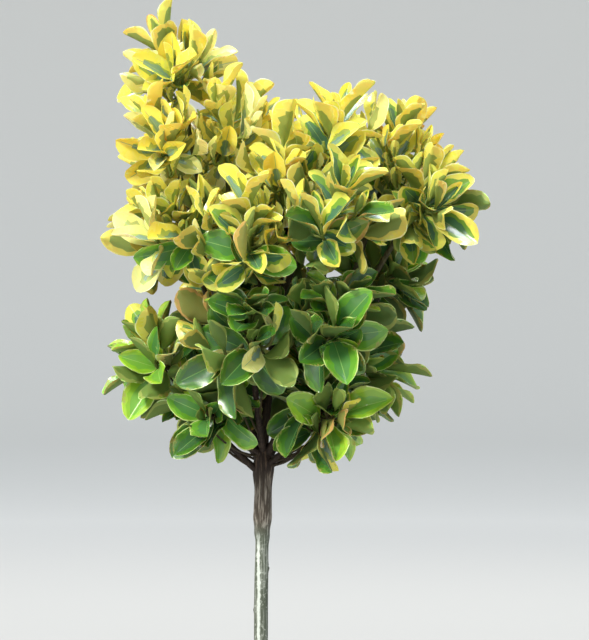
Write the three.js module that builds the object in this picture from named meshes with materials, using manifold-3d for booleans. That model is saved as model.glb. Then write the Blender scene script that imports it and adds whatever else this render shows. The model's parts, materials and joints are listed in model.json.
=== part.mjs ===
// A standard, or lollipop, of a variegated evergreen shrub: one bare stem under a loose, leafy head.
// Millimetres, +Z up. The origin is the middle of the stem's flat cut at ground level. The front is
// towards -Y, and +X is to the right as seen from the front.
import * as THREE from "three";
import { mergeVertices } from "three/addons/utils/BufferGeometryUtils.js";
import Module from "manifold-3d";

const wasm = await Module();
wasm.setup();

// Driving sizes
const GAP = 0.3; // between neighbouring solids
const HAIR = 0.2; // the shortest edge that a join may leave
const STEM = {
  fork: 500, // ground to where the boughs leave
  head: 14, // knuckle of old wood above the fork
  headTop: 0.72, // how much narrower the knuckle's top is
  stock: 6.6, // radius of the slender stock below the graft
  taper: 1.1, // how much thicker the stock is at the ground
  scion: 9.5, // radius of the stouter grafted wood under the head
  graft: 436, // height of the graft's swelling
  graftLength: 26,
  flare: 5.6, // extra radius at the root flare
  flareHeight: 17, // how fast the flare dies away
  bow: { x: -1.8, y: 2.4, top: 1.2 }, // how far the stem strays from upright
  sides: 10,
};
const LEAF = {
  length: 56,
  width: 0.52, // as a share of the length, like the next two
  widest: 0.56,
  cup: 0.38,
  thickness: 1.9,
  root: 0.6, // how far the root is sunk past the twig's middle
  stagger: 1.3, // how far the leaves of a pair stand apart along the shoot
};
const PAIRS = [
  // Opposite pairs of leaves down a shoot: millimetres from its tip, lean in degrees, share of full size
  { down: 4, lean: 16, size: 0.76 },
  { down: 12, lean: 34, size: 1.0 },
  { down: 21, lean: 52, size: 1.0 },
  { down: 31, lean: 72, size: 0.94 },
];
const BOUGH = {
  root: 3, // how far below the stem's own level a bough starts
  sag: 0.2, // how far its middle hangs below its chord, as a share of its reach
  stop: 0.55, // the share of a mass's size left between its tip and the middle
  shortest: 20,
  leader: { sides: 6, steps: 4 },
  fromStem: { radii: [3.6, 2.5], sides: 5, steps: 3 },
  fromLeader: { radii: [3.0, 2.4], sides: 5, steps: 3 },
  clearance: 1.3 * GAP,
};
const TWIG = {
  tip: 1.5, // radius
  sides: 3,
  stem: { radius: 2.4, steps: 4, lean: 24, bend: 0.6 },
  side: { radius: 1.8, steps: 2, lean: 52, leanRange: 50, bend: 0.55, from: 0.15, fromRange: 0.45 },
  reach: 30, // how far a shoot's leaves reach past its tip
  outward: 0.45, // how much a mass grows outwards as it grows up
  splay: 0.25, // how much a shoot's tip leans out as it turns up
};
const LOOSE = { angle: 0.5, lean: 20, length: 0.24, cup: 0.8, tip: 6 }; // the play in what a seed decides
const RETRY = { angle: 0.1, lean: 6, length: 0.03, turn: 0.37 }; // how each new try differs
const SAMPLE = 2.5; // between the points that stand for a limb
const SEED = 7;
const GOLDEN_ANGLE = THREE.MathUtils.degToRad(137.5);
const TRIES = 8;
const BLADE_START = 0.1; // the share of a leaf from which it stays clear of its neighbours
const UP = new THREE.Vector3(0, 0, 1);

// Leading boughs that end in a fork: the share of the stem's height where each one leaves, its tip,
// and its radii
const LEADERS = {
  spine: { at: 0.965, tip: [-36, 10, 640], radii: [4.6, 3.8] },
  centre: { at: 1.0, tip: [14, 2, 668], radii: [4.2, 3.3] },
  prop: { at: 0.985, tip: [58, -34, 622], radii: [4.2, 3.3] },
  reach: { at: 0.975, tip: [78, 24, 650], radii: [4.2, 3.3] },
};

// Masses of foliage: the middle of each one's space and its size, the limb that bears its bough and
// the share of that limb's length, its number of shoots, and the tip of the one that leads in front
const MASSES = {
  spire_top: { mid: [-85, 0, 896], size: 55, from: "spine", at: 0.99, shoots: 5, lead: [-90, -24, 894] },
  spire_left: { mid: [-91, -32, 820], size: 57, from: "spine", at: 0.9, shoots: 4, lead: [-90, -60, 826] },
  spire_right: { mid: [-34, -18, 831], size: 62, from: "spine", at: 0.95, shoots: 5, lead: [-48, -50, 806] },
  shoulder_left: { mid: [-80, -46, 735], size: 65, from: "spine", at: 0.76, shoots: 5, lead: [-72, -82, 742] },
  back_spire: { mid: [-68, 76, 788], size: 72, from: "spine", at: 0.84, shoots: 5 },
  breast: { mid: [-12, -86, 722], size: 67, from: "centre", at: 0.72, shoots: 5, lead: [-12, -112, 728] },
  saddle: { mid: [22, -44, 792], size: 63, from: "centre", at: 0.98, shoots: 4, lead: [24, -70, 796] },
  crest: { mid: [74, -24, 814], size: 61, from: "centre", at: 0.9, shoots: 5, lead: [68, -50, 834] },
  back_crest: { mid: [30, 86, 770], size: 76, from: "centre", at: 0.82, shoots: 5 },
  cheek: { mid: [64, -84, 742], size: 67, from: "prop", at: 0.98, shoots: 5, lead: [58, -112, 738] },
  heart: { mid: [66, -80, 644], size: 64, from: "prop", at: 0.8, shoots: 5, lead: [67, -108, 638] },
  crest_right: { mid: [130, 10, 806], size: 58, from: "reach", at: 0.98, shoots: 4, lead: [128, -14, 822] },
  wing: { mid: [158, -28, 766], size: 56, from: "reach", at: 0.88, shoots: 5, lead: [166, -42, 766] },
  under_wing: { mid: [116, 44, 693], size: 56, from: "reach", at: 0.68, shoots: 3 },
  back_wing: { mid: [110, 86, 758], size: 68, from: "reach", at: 0.8, shoots: 4 },
  flank_left: { mid: [-102, -22, 607], size: 46, from: "stem", at: 0.955, shoots: 4, lead: [-106, -42, 606] },
  skirt_left: { mid: [-48, -34, 561], size: 53, from: "stem", at: 0.99, shoots: 4 },
  belly: { mid: [-12, -80, 632], size: 67, from: "stem", at: 0.995, shoots: 5, lead: [-8, -106, 628] },
  flank_right: { mid: [94, 4, 606], size: 57, from: "stem", at: 0.96, shoots: 4 },
  skirt_right: { mid: [60, -44, 558], size: 54, from: "stem", at: 0.97, shoots: 4 },
  back_heart: { mid: [-4, 76, 674], size: 72, from: "stem", at: 1.0, shoots: 4 },
  back_low_left: { mid: [-54, 64, 588], size: 63, from: "stem", at: 0.975, shoots: 4 },
  back_low_right: { mid: [48, 72, 592], size: 63, from: "stem", at: 0.98, shoots: 4 },
};

const vector = (numbers) => new THREE.Vector3(...numbers);
const spaces = Object.entries(MASSES).map(([name, { mid, size }]) => ({ name, middle: vector(mid), size }));

// A seeded stream of numbers from 0 to 1
function stream(...numbers) {
  const mix = (seed, n) => (Math.imul(seed ^ n, 0x9e3779b1) ^ (seed >>> 13)) >>> 0;
  let state = numbers.reduce(mix, 0x51ed27);
  return () => {
    state = (state + 0x6d2b79f5) >>> 0;
    let mixed = Math.imul(state ^ (state >>> 15), state | 1);
    mixed ^= mixed + Math.imul(mixed ^ (mixed >>> 7), mixed | 61);
    return ((mixed ^ (mixed >>> 14)) >>> 0) / 4294967296;
  };
}

// A closed three.js geometry as a solid
function solidOf(geometry) {
  const bare = geometry.clone();
  bare.deleteAttribute("normal");
  bare.deleteAttribute("uv");
  const merged = mergeVertices(bare, 1e-4);
  return new wasm.Manifold(
    new wasm.Mesh({
      numProp: 3,
      vertProperties: new Float32Array(merged.attributes.position.array),
      triVerts: new Uint32Array(merged.index.array),
    }),
  );
}

// Draws together the ends of each edge shorter than a hair that a join left, where the surface stays
// closed: an edge can go if its ends have only two neighbours in common
function withoutHairs(points, faces, hair) {
  const kept = new Set();
  for (;;) {
    const edges = faces.flatMap(([a, b, c]) => [[a, b], [b, c], [c, a]]);
    const isShort = ([a, b]) => a < b && points[a].distanceTo(points[b]) < hair;
    const edge = edges.find((ends) => isShort(ends) && !kept.has(ends.join()));
    if (!edge) return faces;
    const [a, b] = edge;
    const around = (end) => new Set(faces.filter((face) => face.includes(end)).flat());
    const shared = [...around(a)].filter((i) => around(b).has(i));
    const drawn = faces.map((face) => face.map((i) => (i === b ? a : i)));
    if (shared.length === 4) faces = drawn.filter((face) => new Set(face).size === 3);
    else kept.add(edge.join());
  }
}

// The largest body of a solid as a geometry: scraps and sealed hollows are other bodies, and go
function geometryOf(solid, hair = 0) {
  const whole = solid.decompose().reduce((a, b) => (b.volume() > a.volume() ? b : a));
  const { vertProperties, triVerts } = whole.getMesh();
  const points = [];
  for (let i = 0; i < vertProperties.length; i += 3)
    points.push(new THREE.Vector3().fromArray(vertProperties, i));
  const faces = [];
  for (let i = 0; i < triVerts.length; i += 3) faces.push([...triVerts.subarray(i, i + 3)]);
  const corners = withoutHairs(points, faces, hair).flat();
  return new THREE.BufferGeometry().setFromPoints(corners.map((i) => points[i]));
}

// A tapering limb along a curve: a cylinder bent to follow it
function limbGeometry({ curve, radii, sides, steps }, extra = 0) {
  const frames = curve.computeFrenetFrames(steps, false);
  const geometry = new THREE.CylinderGeometry(1, 1, 1, sides, steps);
  const position = geometry.attributes.position;
  for (let i = 0; i < position.count; i += 1) {
    const step = Math.round((position.getY(i) + 0.5) * steps);
    const radius = THREE.MathUtils.lerp(radii[0], radii[1], step / steps) + extra;
    const point = curve
      .getPointAt(step / steps)
      .addScaledVector(frames.binormals[step], position.getX(i) * radius)
      .addScaledVector(frames.normals[step], position.getZ(i) * radius);
    position.setXYZ(i, point.x, point.y, point.z);
  }
  return geometry;
}

// The stem's middle line and its radius at a height
function stemPoint(height) {
  const share = height / STEM.fork;
  const sway = Math.sin(Math.PI * Math.min(share, 1));
  return new THREE.Vector3(STEM.bow.x * sway + STEM.bow.top * share ** 4, STEM.bow.y * sway, height);
}

function stemRadius(height) {
  const { smoothstep, clamp, lerp } = THREE.MathUtils;
  const stock = STEM.stock + STEM.taper * (1 - height / STEM.fork);
  const graft = smoothstep(height, STEM.graft - STEM.graftLength / 2, STEM.graft + STEM.graftLength / 2);
  const flare = STEM.flare * Math.exp(-height / STEM.flareHeight);
  const crown = lerp(STEM.headTop, 1, clamp((STEM.fork + STEM.head - height) / STEM.head, 0, 1));
  return (stock + (STEM.scion - STEM.stock) * graft + flare) * crown;
}

function stemGeometry(extra = 0) {
  const top = STEM.fork + STEM.head;
  const low = [0, 5, 12, 22, 40, 120, 220, 320, 410];
  const high = [428, 436, 444, 476, STEM.fork, top + extra];
  const heights = [...low, ...high];
  const geometry = new THREE.CylinderGeometry(1, 1, 1, STEM.sides, heights.length - 1);
  const position = geometry.attributes.position;
  for (let i = 0; i < position.count; i += 1) {
    const height = heights[Math.round((position.getY(i) + 0.5) * (heights.length - 1))];
    const middle = stemPoint(height);
    const radius = stemRadius(height) + extra;
    position.setXYZ(i, middle.x + position.getX(i) * radius, middle.y - position.getZ(i) * radius, height);
  }
  return geometry;
}

// A bough from its parent to a tip, leaving outwards and then turning up
function boughCurve(start, tip) {
  const chord = tip.clone().sub(start);
  const sag = BOUGH.sag * Math.hypot(chord.x, chord.y);
  const bend = start.clone().addScaledVector(chord, 0.5).addScaledVector(UP, -sag);
  return new THREE.QuadraticBezierCurve3(start, bend, tip);
}

function growLimbs() {
  const limbs = new Map();
  const onStem = (at) => stemPoint((STEM.fork + STEM.head) * at - BOUGH.root);
  for (const [name, { at, tip, radii }] of Object.entries(LEADERS))
    limbs.set(name, { curve: boughCurve(onStem(at), vector(tip)), radii, ...BOUGH.leader });
  for (const [name, { mid, size, from, at }] of Object.entries(MASSES)) {
    const parent = limbs.get(from);
    const start = parent ? parent.curve.getPointAt(at) : onStem(at);
    const tip = vector(mid).sub(start);
    tip.setLength(Math.max(BOUGH.shortest, tip.length() - BOUGH.stop * size)).add(start);
    const make = parent ? BOUGH.fromLeader : BOUGH.fromStem;
    limbs.set(`to_${name}`, { curve: boughCurve(start, tip), ...make });
  }
  return limbs;
}

// Points along every limb with the radius there, which twigs and leaves keep clear of
function limbSamples(limbs) {
  const samples = [];
  for (const [limb, { curve, radii }] of limbs) {
    const count = Math.ceil(curve.getLength() / SAMPLE);
    for (let i = 0; i <= count; i += 1) {
      const radius = THREE.MathUtils.lerp(...radii, i / count);
      samples.push({ limb, point: curve.getPointAt(i / count), radius });
    }
  }
  for (let height = STEM.graft; height <= STEM.fork + STEM.head; height += SAMPLE)
    samples.push({ limb: "stem", point: stemPoint(height), radius: STEM.scion + 1 });
  return samples;
}

// True if a point is in a mass's own space, at least a margin from every neighbour's. The spaces
// are parted by planes, nearer to the mass with the smaller size.
function inSpace(own, point, margin) {
  const near = point.distanceToSquared(own.middle) - own.size ** 2;
  return spaces.every((other) => {
    const far = point.distanceToSquared(other.middle) - other.size ** 2;
    return other === own || far - near >= 2 * margin * other.middle.distanceTo(own.middle);
  });
}

function twigFits(own, curve, samples) {
  return curve
    .getSpacedPoints(8)
    .every(
      (p) =>
        inSpace(own, p, TWIG.side.radius + GAP) &&
        samples.every((s) => p.distanceTo(s.point) > s.radius + TWIG.side.radius + 2 * GAP),
    );
}

// A leaf of six faces from a share of its length to its tip: two halves that rise from a straight
// midrib towards the shoot's axis, and a keel under it
function leafGeometry({ base, along, across, length, cup }, root) {
  const face = new THREE.Vector3().crossVectors(along, across);
  const place = (forward, side, up) =>
    base.clone().addScaledVector(along, forward).addScaledVector(across, side).addScaledVector(face, up);
  const wide = LEAF.widest * length;
  const half = (LEAF.width * length) / 2;
  const [foot, left, tip, right, keel] = [
    place(root, 0, 0),
    place(wide, half, cup * half),
    place(length, 0, 0),
    place(wide, -half, cup * half),
    place(wide, 0, -LEAF.thickness),
  ];
  const above = [foot, tip, left, foot, right, tip];
  const below = [foot, left, keel, left, tip, keel, tip, right, keel, right, foot, keel];
  return new THREE.BufferGeometry().setFromPoints([...above, ...below]);
}

function leafFits(own, geometry, samples) {
  const position = geometry.attributes.position;
  const corner = new THREE.Vector3();
  for (let i = 0; i < position.count; i += 1)
    if (!inSpace(own, corner.fromBufferAttribute(position, i), GAP)) return false;
  geometry.computeBoundingSphere();
  const { center, radius } = geometry.boundingSphere;
  const triangle = new THREE.Triangle();
  const nearest = new THREE.Vector3();
  return samples
    .filter((s) => s.point.distanceTo(center) < radius + s.radius + 2 * GAP)
    .every((s) => {
      for (let i = 0; i < position.count; i += 3) {
        triangle.setFromAttributeAndIndices(position, i, i + 1, i + 2);
        triangle.closestPointToPoint(s.point, nearest);
        if (nearest.distanceTo(s.point) < s.radius + 2 * GAP) return false;
      }
      return true;
    });
}

// A direction turned away from an axis by a lean, at an angle round it, both in radians
function turned(axis, lean, angle) {
  const across = Math.abs(axis.z) < 0.9 ? UP : new THREE.Vector3(1, 0, 0);
  const side = new THREE.Vector3().crossVectors(axis, across).normalize().applyAxisAngle(axis, angle);
  return axis.clone().multiplyScalar(Math.cos(lean)).addScaledVector(side, Math.sin(lean));
}

// The point and the direction of a twig's solid at a share of its length
function onTwig({ curve, steps }, share) {
  const step = Math.min(Math.floor(share * steps), steps - 1);
  const from = curve.getPointAt(step / steps);
  const to = curve.getPointAt((step + 1) / steps);
  return { point: from.clone().lerp(to, share * steps - step), axis: to.clone().sub(from).normalize() };
}

// One try at a leaf: its place on the shoot, its lean and its shape
function shapeLeaf(shoot, pair, side, angle, attempt) {
  const random = stream(...shoot.seed, pair.down, side, attempt);
  const down = pair.down + LEAF.stagger * (side + random());
  const { point, axis } = onTwig(shoot, 1 - down / shoot.curve.getLength());
  const spin = angle + (random() - 0.5) * (LOOSE.angle + RETRY.angle * attempt);
  const lean = THREE.MathUtils.degToRad(pair.lean + (random() - 0.5) * (LOOSE.lean + RETRY.lean * attempt));
  return {
    base: point,
    along: turned(axis, lean, spin),
    across: new THREE.Vector3().crossVectors(axis, turned(axis, Math.PI / 2, spin)),
    length: LEAF.length * pair.size * (1 + LOOSE.length * (random() - 0.5)) * (1 - RETRY.length * attempt),
    cup: LEAF.cup * (1 + LOOSE.cup * (random() - 0.5)),
  };
}

// The opposite pairs of leaves down one shoot, each pair a quarter turn from the last. A leaf that
// would touch another mass, a limb or a leaf made before it is turned a little, and at last skipped.
function growLeaves(own, shoot, samples, blades) {
  const leaves = [];
  const phase = stream(...shoot.seed)() * Math.PI;
  PAIRS.forEach((pair, row) => {
    if (pair.down > 0.88 * shoot.curve.getLength()) return;
    for (const side of [0, 1]) {
      for (let attempt = 0; attempt < TRIES; attempt += 1) {
        const leaf = shapeLeaf(shoot, pair, side, phase + row * (Math.PI / 2) + side * Math.PI, attempt);
        const whole = leafGeometry(leaf, -LEAF.root);
        if (!leafFits(own, whole, samples)) continue;
        const blade = solidOf(leafGeometry(leaf, BLADE_START * leaf.length));
        if (blades.some((other) => !blade.intersect(other).isEmpty())) continue;
        blades.push(blade);
        leaves.push(solidOf(whole));
        break;
      }
    }
  });
  return leaves;
}

// The outward and upward way in which a mass grows
function growthOf(own) {
  return new THREE.Vector3(own.middle.x, own.middle.y, 0).setLength(TWIG.outward).add(UP).normalize();
}

// The shoots of a mass: its stem runs from the bough's tip past the middle to the top of the space,
// and the others leave the stem and spiral round the middle, one of them to the leading tip
function growShoots(own, number, bough, samples) {
  const { shoots, lead } = MASSES[own.name];
  const onward = bough.getTangentAt(1);
  const foot = bough.getPointAt(1).addScaledVector(onward, GAP);
  const out = growthOf(own);
  const grown = [];
  for (let k = 0; k < shoots; k += 1) {
    const isStem = k === 0;
    const kind = isStem ? TWIG.stem : TWIG.side;
    const clear = isStem ? samples.filter((s) => s.limb !== `to_${own.name}`) : samples;
    for (let attempt = 0; attempt < TRIES; attempt += 1) {
      const random = stream(SEED, number, k, attempt);
      const lean = isStem ? kind.lean * random() : kind.lean + (kind.leanRange * k) / shoots;
      const spin = (k + RETRY.turn * attempt) * GOLDEN_ANGLE + number;
      const away = turned(out, THREE.MathUtils.degToRad(lean), spin);
      const round = own.middle.clone().addScaledVector(away, own.size - TWIG.reach + LOOSE.tip * random());
      const tip = k === 1 && lead ? vector(lead) : round;
      const start = isStem ? foot : onTwig(grown[0], kind.from + (kind.fromRange * k) / shoots).point;
      const rise = tip.clone().sub(own.middle).setLength(TWIG.splay).add(UP).normalize();
      const bend = isStem
        ? foot.clone().addScaledVector(onward, kind.bend * foot.distanceTo(own.middle))
        : tip.clone().addScaledVector(rise, -kind.bend * tip.distanceTo(start));
      const curve = new THREE.QuadraticBezierCurve3(start, bend, tip);
      if (!twigFits(own, curve, clear)) continue;
      const { radius, steps } = kind;
      grown.push({ curve, radii: [radius, TWIG.tip], steps, sides: TWIG.sides, seed: [SEED, number, k] });
      break;
    }
  }
  return grown;
}

// One mass: the shoots and the leaves on each of them, all one solid
function growMass(own, number, limbs, samples) {
  const shoots = growShoots(own, number, limbs.get(`to_${own.name}`).curve, samples);
  const twigs = shoots.map((shoot) => solidOf(limbGeometry(shoot)));
  const blades = [...twigs];
  const leaves = shoots.flatMap((shoot) => growLeaves(own, shoot, samples, blades));
  const whole = [...twigs, ...leaves].reduce((sum, piece) => sum.add(piece));
  return geometryOf(whole, HAIR);
}

const BARK = new THREE.MeshStandardMaterial({ color: 0x6f6a58, roughness: 0.85, metalness: 0 });
const WOOD = new THREE.MeshStandardMaterial({ color: 0x574c3a, roughness: 0.85, metalness: 0 });

// Deep green low in the head, gold at its top
function foliageMaterial(height) {
  const share = THREE.MathUtils.smoothstep(height, 600, 840);
  const color = new THREE.Color(0x3f6b1e).lerp(new THREE.Color(0xe6cf3c), share);
  return new THREE.MeshStandardMaterial({ color, roughness: 0.45, metalness: 0 });
}

function makePlant() {
  const plant = new THREE.Group();
  const addNode = (name, geometry, material) => {
    geometry.computeVertexNormals();
    const mesh = new THREE.Mesh(geometry, material);
    mesh.name = name;
    plant.add(mesh);
  };
  const limbs = growLimbs();
  const samples = limbSamples(limbs);
  addNode("stem", stemGeometry(), BARK);
  // Each bough is cut clear of the stem and of the boughs before it
  let wood = solidOf(stemGeometry(GAP));
  for (const [name, limb] of limbs) {
    addNode(`bough_${name}`, geometryOf(solidOf(limbGeometry(limb)).subtract(wood)), WOOD);
    wood = wood.add(solidOf(limbGeometry(limb, BOUGH.clearance)));
  }
  spaces.forEach((own, number) => {
    addNode(`leaves_${own.name}`, growMass(own, number + 1, limbs, samples), foliageMaterial(own.middle.z));
  });
  return plant;
}

export default makePlant();
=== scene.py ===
import json
import logging
import math
from collections.abc import Sequence
from dataclasses import dataclass, field
from enum import Enum
from functools import cached_property

import bpy
import numpy as np
from mathutils import Matrix, Vector
from mathutils.bvhtree import BVHTree

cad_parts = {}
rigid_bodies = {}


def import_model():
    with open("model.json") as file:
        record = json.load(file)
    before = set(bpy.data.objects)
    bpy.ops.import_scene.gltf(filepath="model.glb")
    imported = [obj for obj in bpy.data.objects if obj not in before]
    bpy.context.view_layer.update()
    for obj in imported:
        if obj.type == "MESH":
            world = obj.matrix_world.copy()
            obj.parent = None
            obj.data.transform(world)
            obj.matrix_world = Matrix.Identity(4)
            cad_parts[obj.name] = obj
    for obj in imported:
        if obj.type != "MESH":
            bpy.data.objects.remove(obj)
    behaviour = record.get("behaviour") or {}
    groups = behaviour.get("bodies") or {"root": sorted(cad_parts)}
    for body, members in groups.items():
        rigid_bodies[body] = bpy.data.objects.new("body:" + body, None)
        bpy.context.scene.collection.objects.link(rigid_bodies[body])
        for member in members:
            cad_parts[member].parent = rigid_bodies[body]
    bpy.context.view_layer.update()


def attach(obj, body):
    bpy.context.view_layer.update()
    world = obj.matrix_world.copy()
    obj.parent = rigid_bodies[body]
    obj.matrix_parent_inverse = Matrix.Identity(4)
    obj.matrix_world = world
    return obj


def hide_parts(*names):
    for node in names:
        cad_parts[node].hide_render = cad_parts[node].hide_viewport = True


LOG = logging.getLogger("standard_shrub")
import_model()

Point = np.ndarray
Place = tuple[float, float, float]
Colour = tuple[float, float, float, float]
Stops = tuple[tuple[float, str], ...]
Face = tuple[int, ...]
Socket = bpy.types.NodeSocket

MM = 0.001  # the growth rule works in millimetres, as the solids' source does; meshes are in metres
UP = np.array([0.0, 0.0, 1.0])
STEEP = 0.9  # the climb past which a direction counts as upright
GAP = 0.3  # millimetres between neighbours
GUARD_SPACING = 2.5  # millimetres between the points of a limb that leaves keep clear of
GOLDEN_ANGLE = math.radians(137.5)
GROWTH_SEED = 7


def unit(way: Point) -> Point:
    """A direction of length one."""
    return way / np.linalg.norm(way)


def smoothstep(value: Point | float, low: float, high: float) -> Point | float:
    """A smooth climb from 0 at low to 1 at high."""
    share = np.clip((value - low) / (high - low), 0, 1)
    return share * share * (3 - 2 * share)


def bump(*parts: tuple[Point, float]) -> Point:
    """A smooth bump, from distances and how wide it is along each: 1 in its middle, 0 far off."""
    return np.exp(-sum((distance / width) ** 2 for distance, width in parts))


def turned(axis: Point, lean: float, angle: float) -> Point:
    """Leans away from an axis.

    Args:
        axis: a direction of length one.
        lean: radians away from it.
        angle: radians round it.

    Returns:
        The new direction, of length one.
    """
    across = UP if abs(axis[2]) < STEEP else np.array([1.0, 0.0, 0.0])
    side = unit(np.cross(axis, across))
    side = side * math.cos(angle) + np.cross(axis, side) * math.sin(angle)
    return axis * math.cos(lean) + side * math.sin(lean)


def stitch(rings: int, around: int, first: int = 0) -> list[Face]:
    """The four-sided faces between rings of points.

    Args:
        rings: how many rings there are.
        around: how many points each has.
        first: the number of the first point.

    Returns:
        The faces, which point outwards where the rings climb.
    """
    faces = []
    for low in range(first, first + (rings - 1) * around, around):
        for j in range(around):
            k = (j + 1) % around
            faces.append((low + j, low + k, low + around + k, low + around + j))
    return faces


class Draws:
    """A seeded run of numbers from 0 to 1, the one that the solids grew by."""

    WORD = 0xFFFFFFFF
    START = 0x51ED27
    SPREAD = 0x9E3779B1
    STEP = 0x6D2B79F5

    def __init__(self, *numbers: int) -> None:
        """Mixes the numbers into one seed.

        Args:
            numbers: what the run depends on.
        """
        self.state = self.START
        for number in numbers:
            mixed = ((self.state ^ number) * self.SPREAD) ^ (self.state >> 13)
            self.state = mixed & self.WORD

    def one(self) -> float:
        """The next number.

        Returns:
            A number from 0 to 1.
        """
        self.state = (self.state + self.STEP) & self.WORD
        mixed = ((self.state ^ (self.state >> 15)) * (self.state | 1)) & self.WORD
        mixed ^= (mixed + (mixed ^ (mixed >> 7)) * (mixed | 61)) & self.WORD
        return ((mixed ^ (mixed >> 14)) & self.WORD) / 2**32

    def about(self, width: float) -> float:
        """The next number, from minus half the width to half of it."""
        return (self.one() - 0.5) * width


@dataclass
class Line:
    """The middle line of a limb or a twig: from its start to its tip, drawn towards a bend."""

    start: Point
    bend: Point
    tip: Point

    DIVISIONS = 200
    NEAR = 0.02

    def __post_init__(self) -> None:
        """Measures the line, so that shares of its length can be found on it."""
        self.steps = np.linspace(0, 1, self.DIVISIONS + 1)
        hops = np.linalg.norm(np.diff(self.raw(self.steps), axis=0), axis=1)
        self.lengths = np.concatenate([[0], np.cumsum(hops)])
        self.length = float(self.lengths[-1])

    def raw(self, t: Point) -> Point:
        """Points by the curve's own parameter."""
        t = np.asarray(t, float)[:, None]
        return (1 - t) ** 2 * self.start + 2 * (1 - t) * t * self.bend + t**2 * self.tip

    def points(self, shares: Point) -> Point:
        """Points at shares of the length."""
        return self.raw(np.interp(np.asarray(shares) * self.length, self.lengths, self.steps))

    def at(self, share: float) -> Point:
        """The point at one share of the length."""
        return self.points([share])[0]

    def axis(self, share: float) -> Point:
        """The direction at a share of the length."""
        low, high = self.points([max(share - self.NEAR, 0), min(share + self.NEAR, 1)])
        return unit(high - low)


class Age(Enum):
    """How old a leaf is, which decides how it is bent."""

    YOUNG = 0
    GROWN = 1
    OLD = 2


@dataclass(frozen=True)
class Pair:
    """An opposite pair of leaves.

    It grows so many millimetres down from the shoot's tip, leans out by degrees, and has a share
    of the full size.
    """

    down: int
    lean: float
    size: float
    age: Age


class Rank(Enum):
    """Which pairs of leaves a shoot bears. Those of MAIN are also in the solids."""

    MAIN = (
        Pair(4, 16, 0.76, Age.YOUNG),
        Pair(12, 34, 1.0, Age.GROWN),
        Pair(21, 52, 1.0, Age.GROWN),
        Pair(31, 72, 0.94, Age.OLD),
    )
    INNER = (
        Pair(1, 9, 0.36, Age.YOUNG),
        Pair(43, 88, 0.86, Age.OLD),
        Pair(57, 94, 0.8, Age.OLD),
    )
    FINE = (
        Pair(2, 16, 0.55, Age.YOUNG),
        Pair(8, 34, 0.82, Age.GROWN),
        Pair(16, 52, 0.92, Age.GROWN),
        Pair(26, 72, 0.9, Age.OLD),
    )


@dataclass
class Limb:
    """A bough or a twig: its middle line, its radii and the seed of what grows on it."""

    line: Line
    radii: tuple[float, float]
    seed: tuple[int, ...] = ()

    def radius(self, shares: Point) -> Point:
        """The radius at shares of the length."""
        return np.interp(shares, [0, 1], self.radii)

    def guards(self, spacing: float = GUARD_SPACING) -> tuple[Point, Point]:
        """Points along the limb and the radius at each, which leaves keep clear of."""
        shares = np.linspace(0, 1, math.ceil(self.line.length / spacing) + 1)
        return self.line.points(shares), self.radius(shares)


@dataclass
class Leaf:
    """A leaf where it grows: its root, the ways it points and spreads, its length and its age."""

    root: Point
    along: Point
    across: Point
    length: float
    age: Age
    shoot: int = 0

    WIDTH = 0.52
    WIDEST = 0.56
    CUP = 0.38
    THICKNESS = 1.9
    SUNK = 0.6
    BLADE_START = 0.1
    FACES = ((0, 2, 1), (0, 3, 2), (0, 1, 4), (1, 2, 4), (2, 3, 4), (3, 0, 4))

    def wedge(self, start: float) -> Point:
        """The corners of the leaf's solid.

        Args:
            start: how far along the leaf it starts.

        Returns:
            Its five corners.
        """
        face = np.cross(self.along, self.across)
        half = self.WIDTH * self.length / 2
        middle = self.root + self.WIDEST * self.length * self.along
        raised = middle + self.CUP * half * face
        return np.array([
            self.root + start * self.along,
            raised + half * self.across,
            self.root + self.length * self.along,
            raised - half * self.across,
            middle - self.THICKNESS * face,
        ])

    def tree(self, start: float) -> BVHTree:
        """The same solid as a tree that can be searched."""
        return BVHTree.FromPolygons([Vector(p) for p in self.wedge(start)], self.FACES)


@dataclass(frozen=True)
class Mass:
    """A mass of foliage.

    It has a middle and a size, the limb that bears it, the share of that limb where its own bough
    starts, a number of shoots and a tip that leads.
    """

    name: str
    middle: Place
    size: float
    parent: str
    at: float
    shoots: int
    lead: Place | None = None


@dataclass
class StemForm:
    """The stem's sizes in millimetres, the same as in the solids.

    Stock and scion are its radii below and above the graft, and the head is the knuckle on top.
    """

    fork: float = 500
    head: float = 14
    head_top: float = 0.72
    stock: float = 6.6
    taper: float = 1.1
    scion: float = 9.5
    graft: float = 436
    graft_length: float = 26
    flare: float = 5.6
    flare_height: float = 17
    bow_x: float = -1.8
    bow_y: float = 2.4
    bow_top: float = 1.2

    @property
    def top(self) -> float:
        """The height of the knuckle's top."""
        return self.fork + self.head

    def middle(self, height: Point) -> Point:
        """The stem's middle.

        Args:
            height: heights in millimetres.

        Returns:
            A point for each height.
        """
        height = np.atleast_1d(np.asarray(height, float))
        share = height / self.fork
        sway = np.sin(np.pi * np.minimum(share, 1))
        x = self.bow_x * sway + self.bow_top * share**4
        return np.stack([x, self.bow_y * sway, height], axis=-1)

    def radius(self, height: Point) -> Point:
        """The stem's radius, without its bark's relief.

        Args:
            height: heights in millimetres.

        Returns:
            The radius at each height.
        """
        stock = self.stock + self.taper * (1 - height / self.fork)
        half = self.graft_length / 2
        graft = smoothstep(height, self.graft - half, self.graft + half)
        flare = self.flare * np.exp(-height / self.flare_height)
        below_top = np.clip((self.top - height) / self.head, 0, 1)
        crown = self.head_top + (1 - self.head_top) * below_top
        return (stock + (self.scion - self.stock) * graft + flare) * crown


@dataclass(frozen=True)
class Leader:
    """A leading bough: the share of the stem's height where it leaves, its tip and its radii."""

    at: float
    tip: Place
    radii: tuple[float, float]


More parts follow.
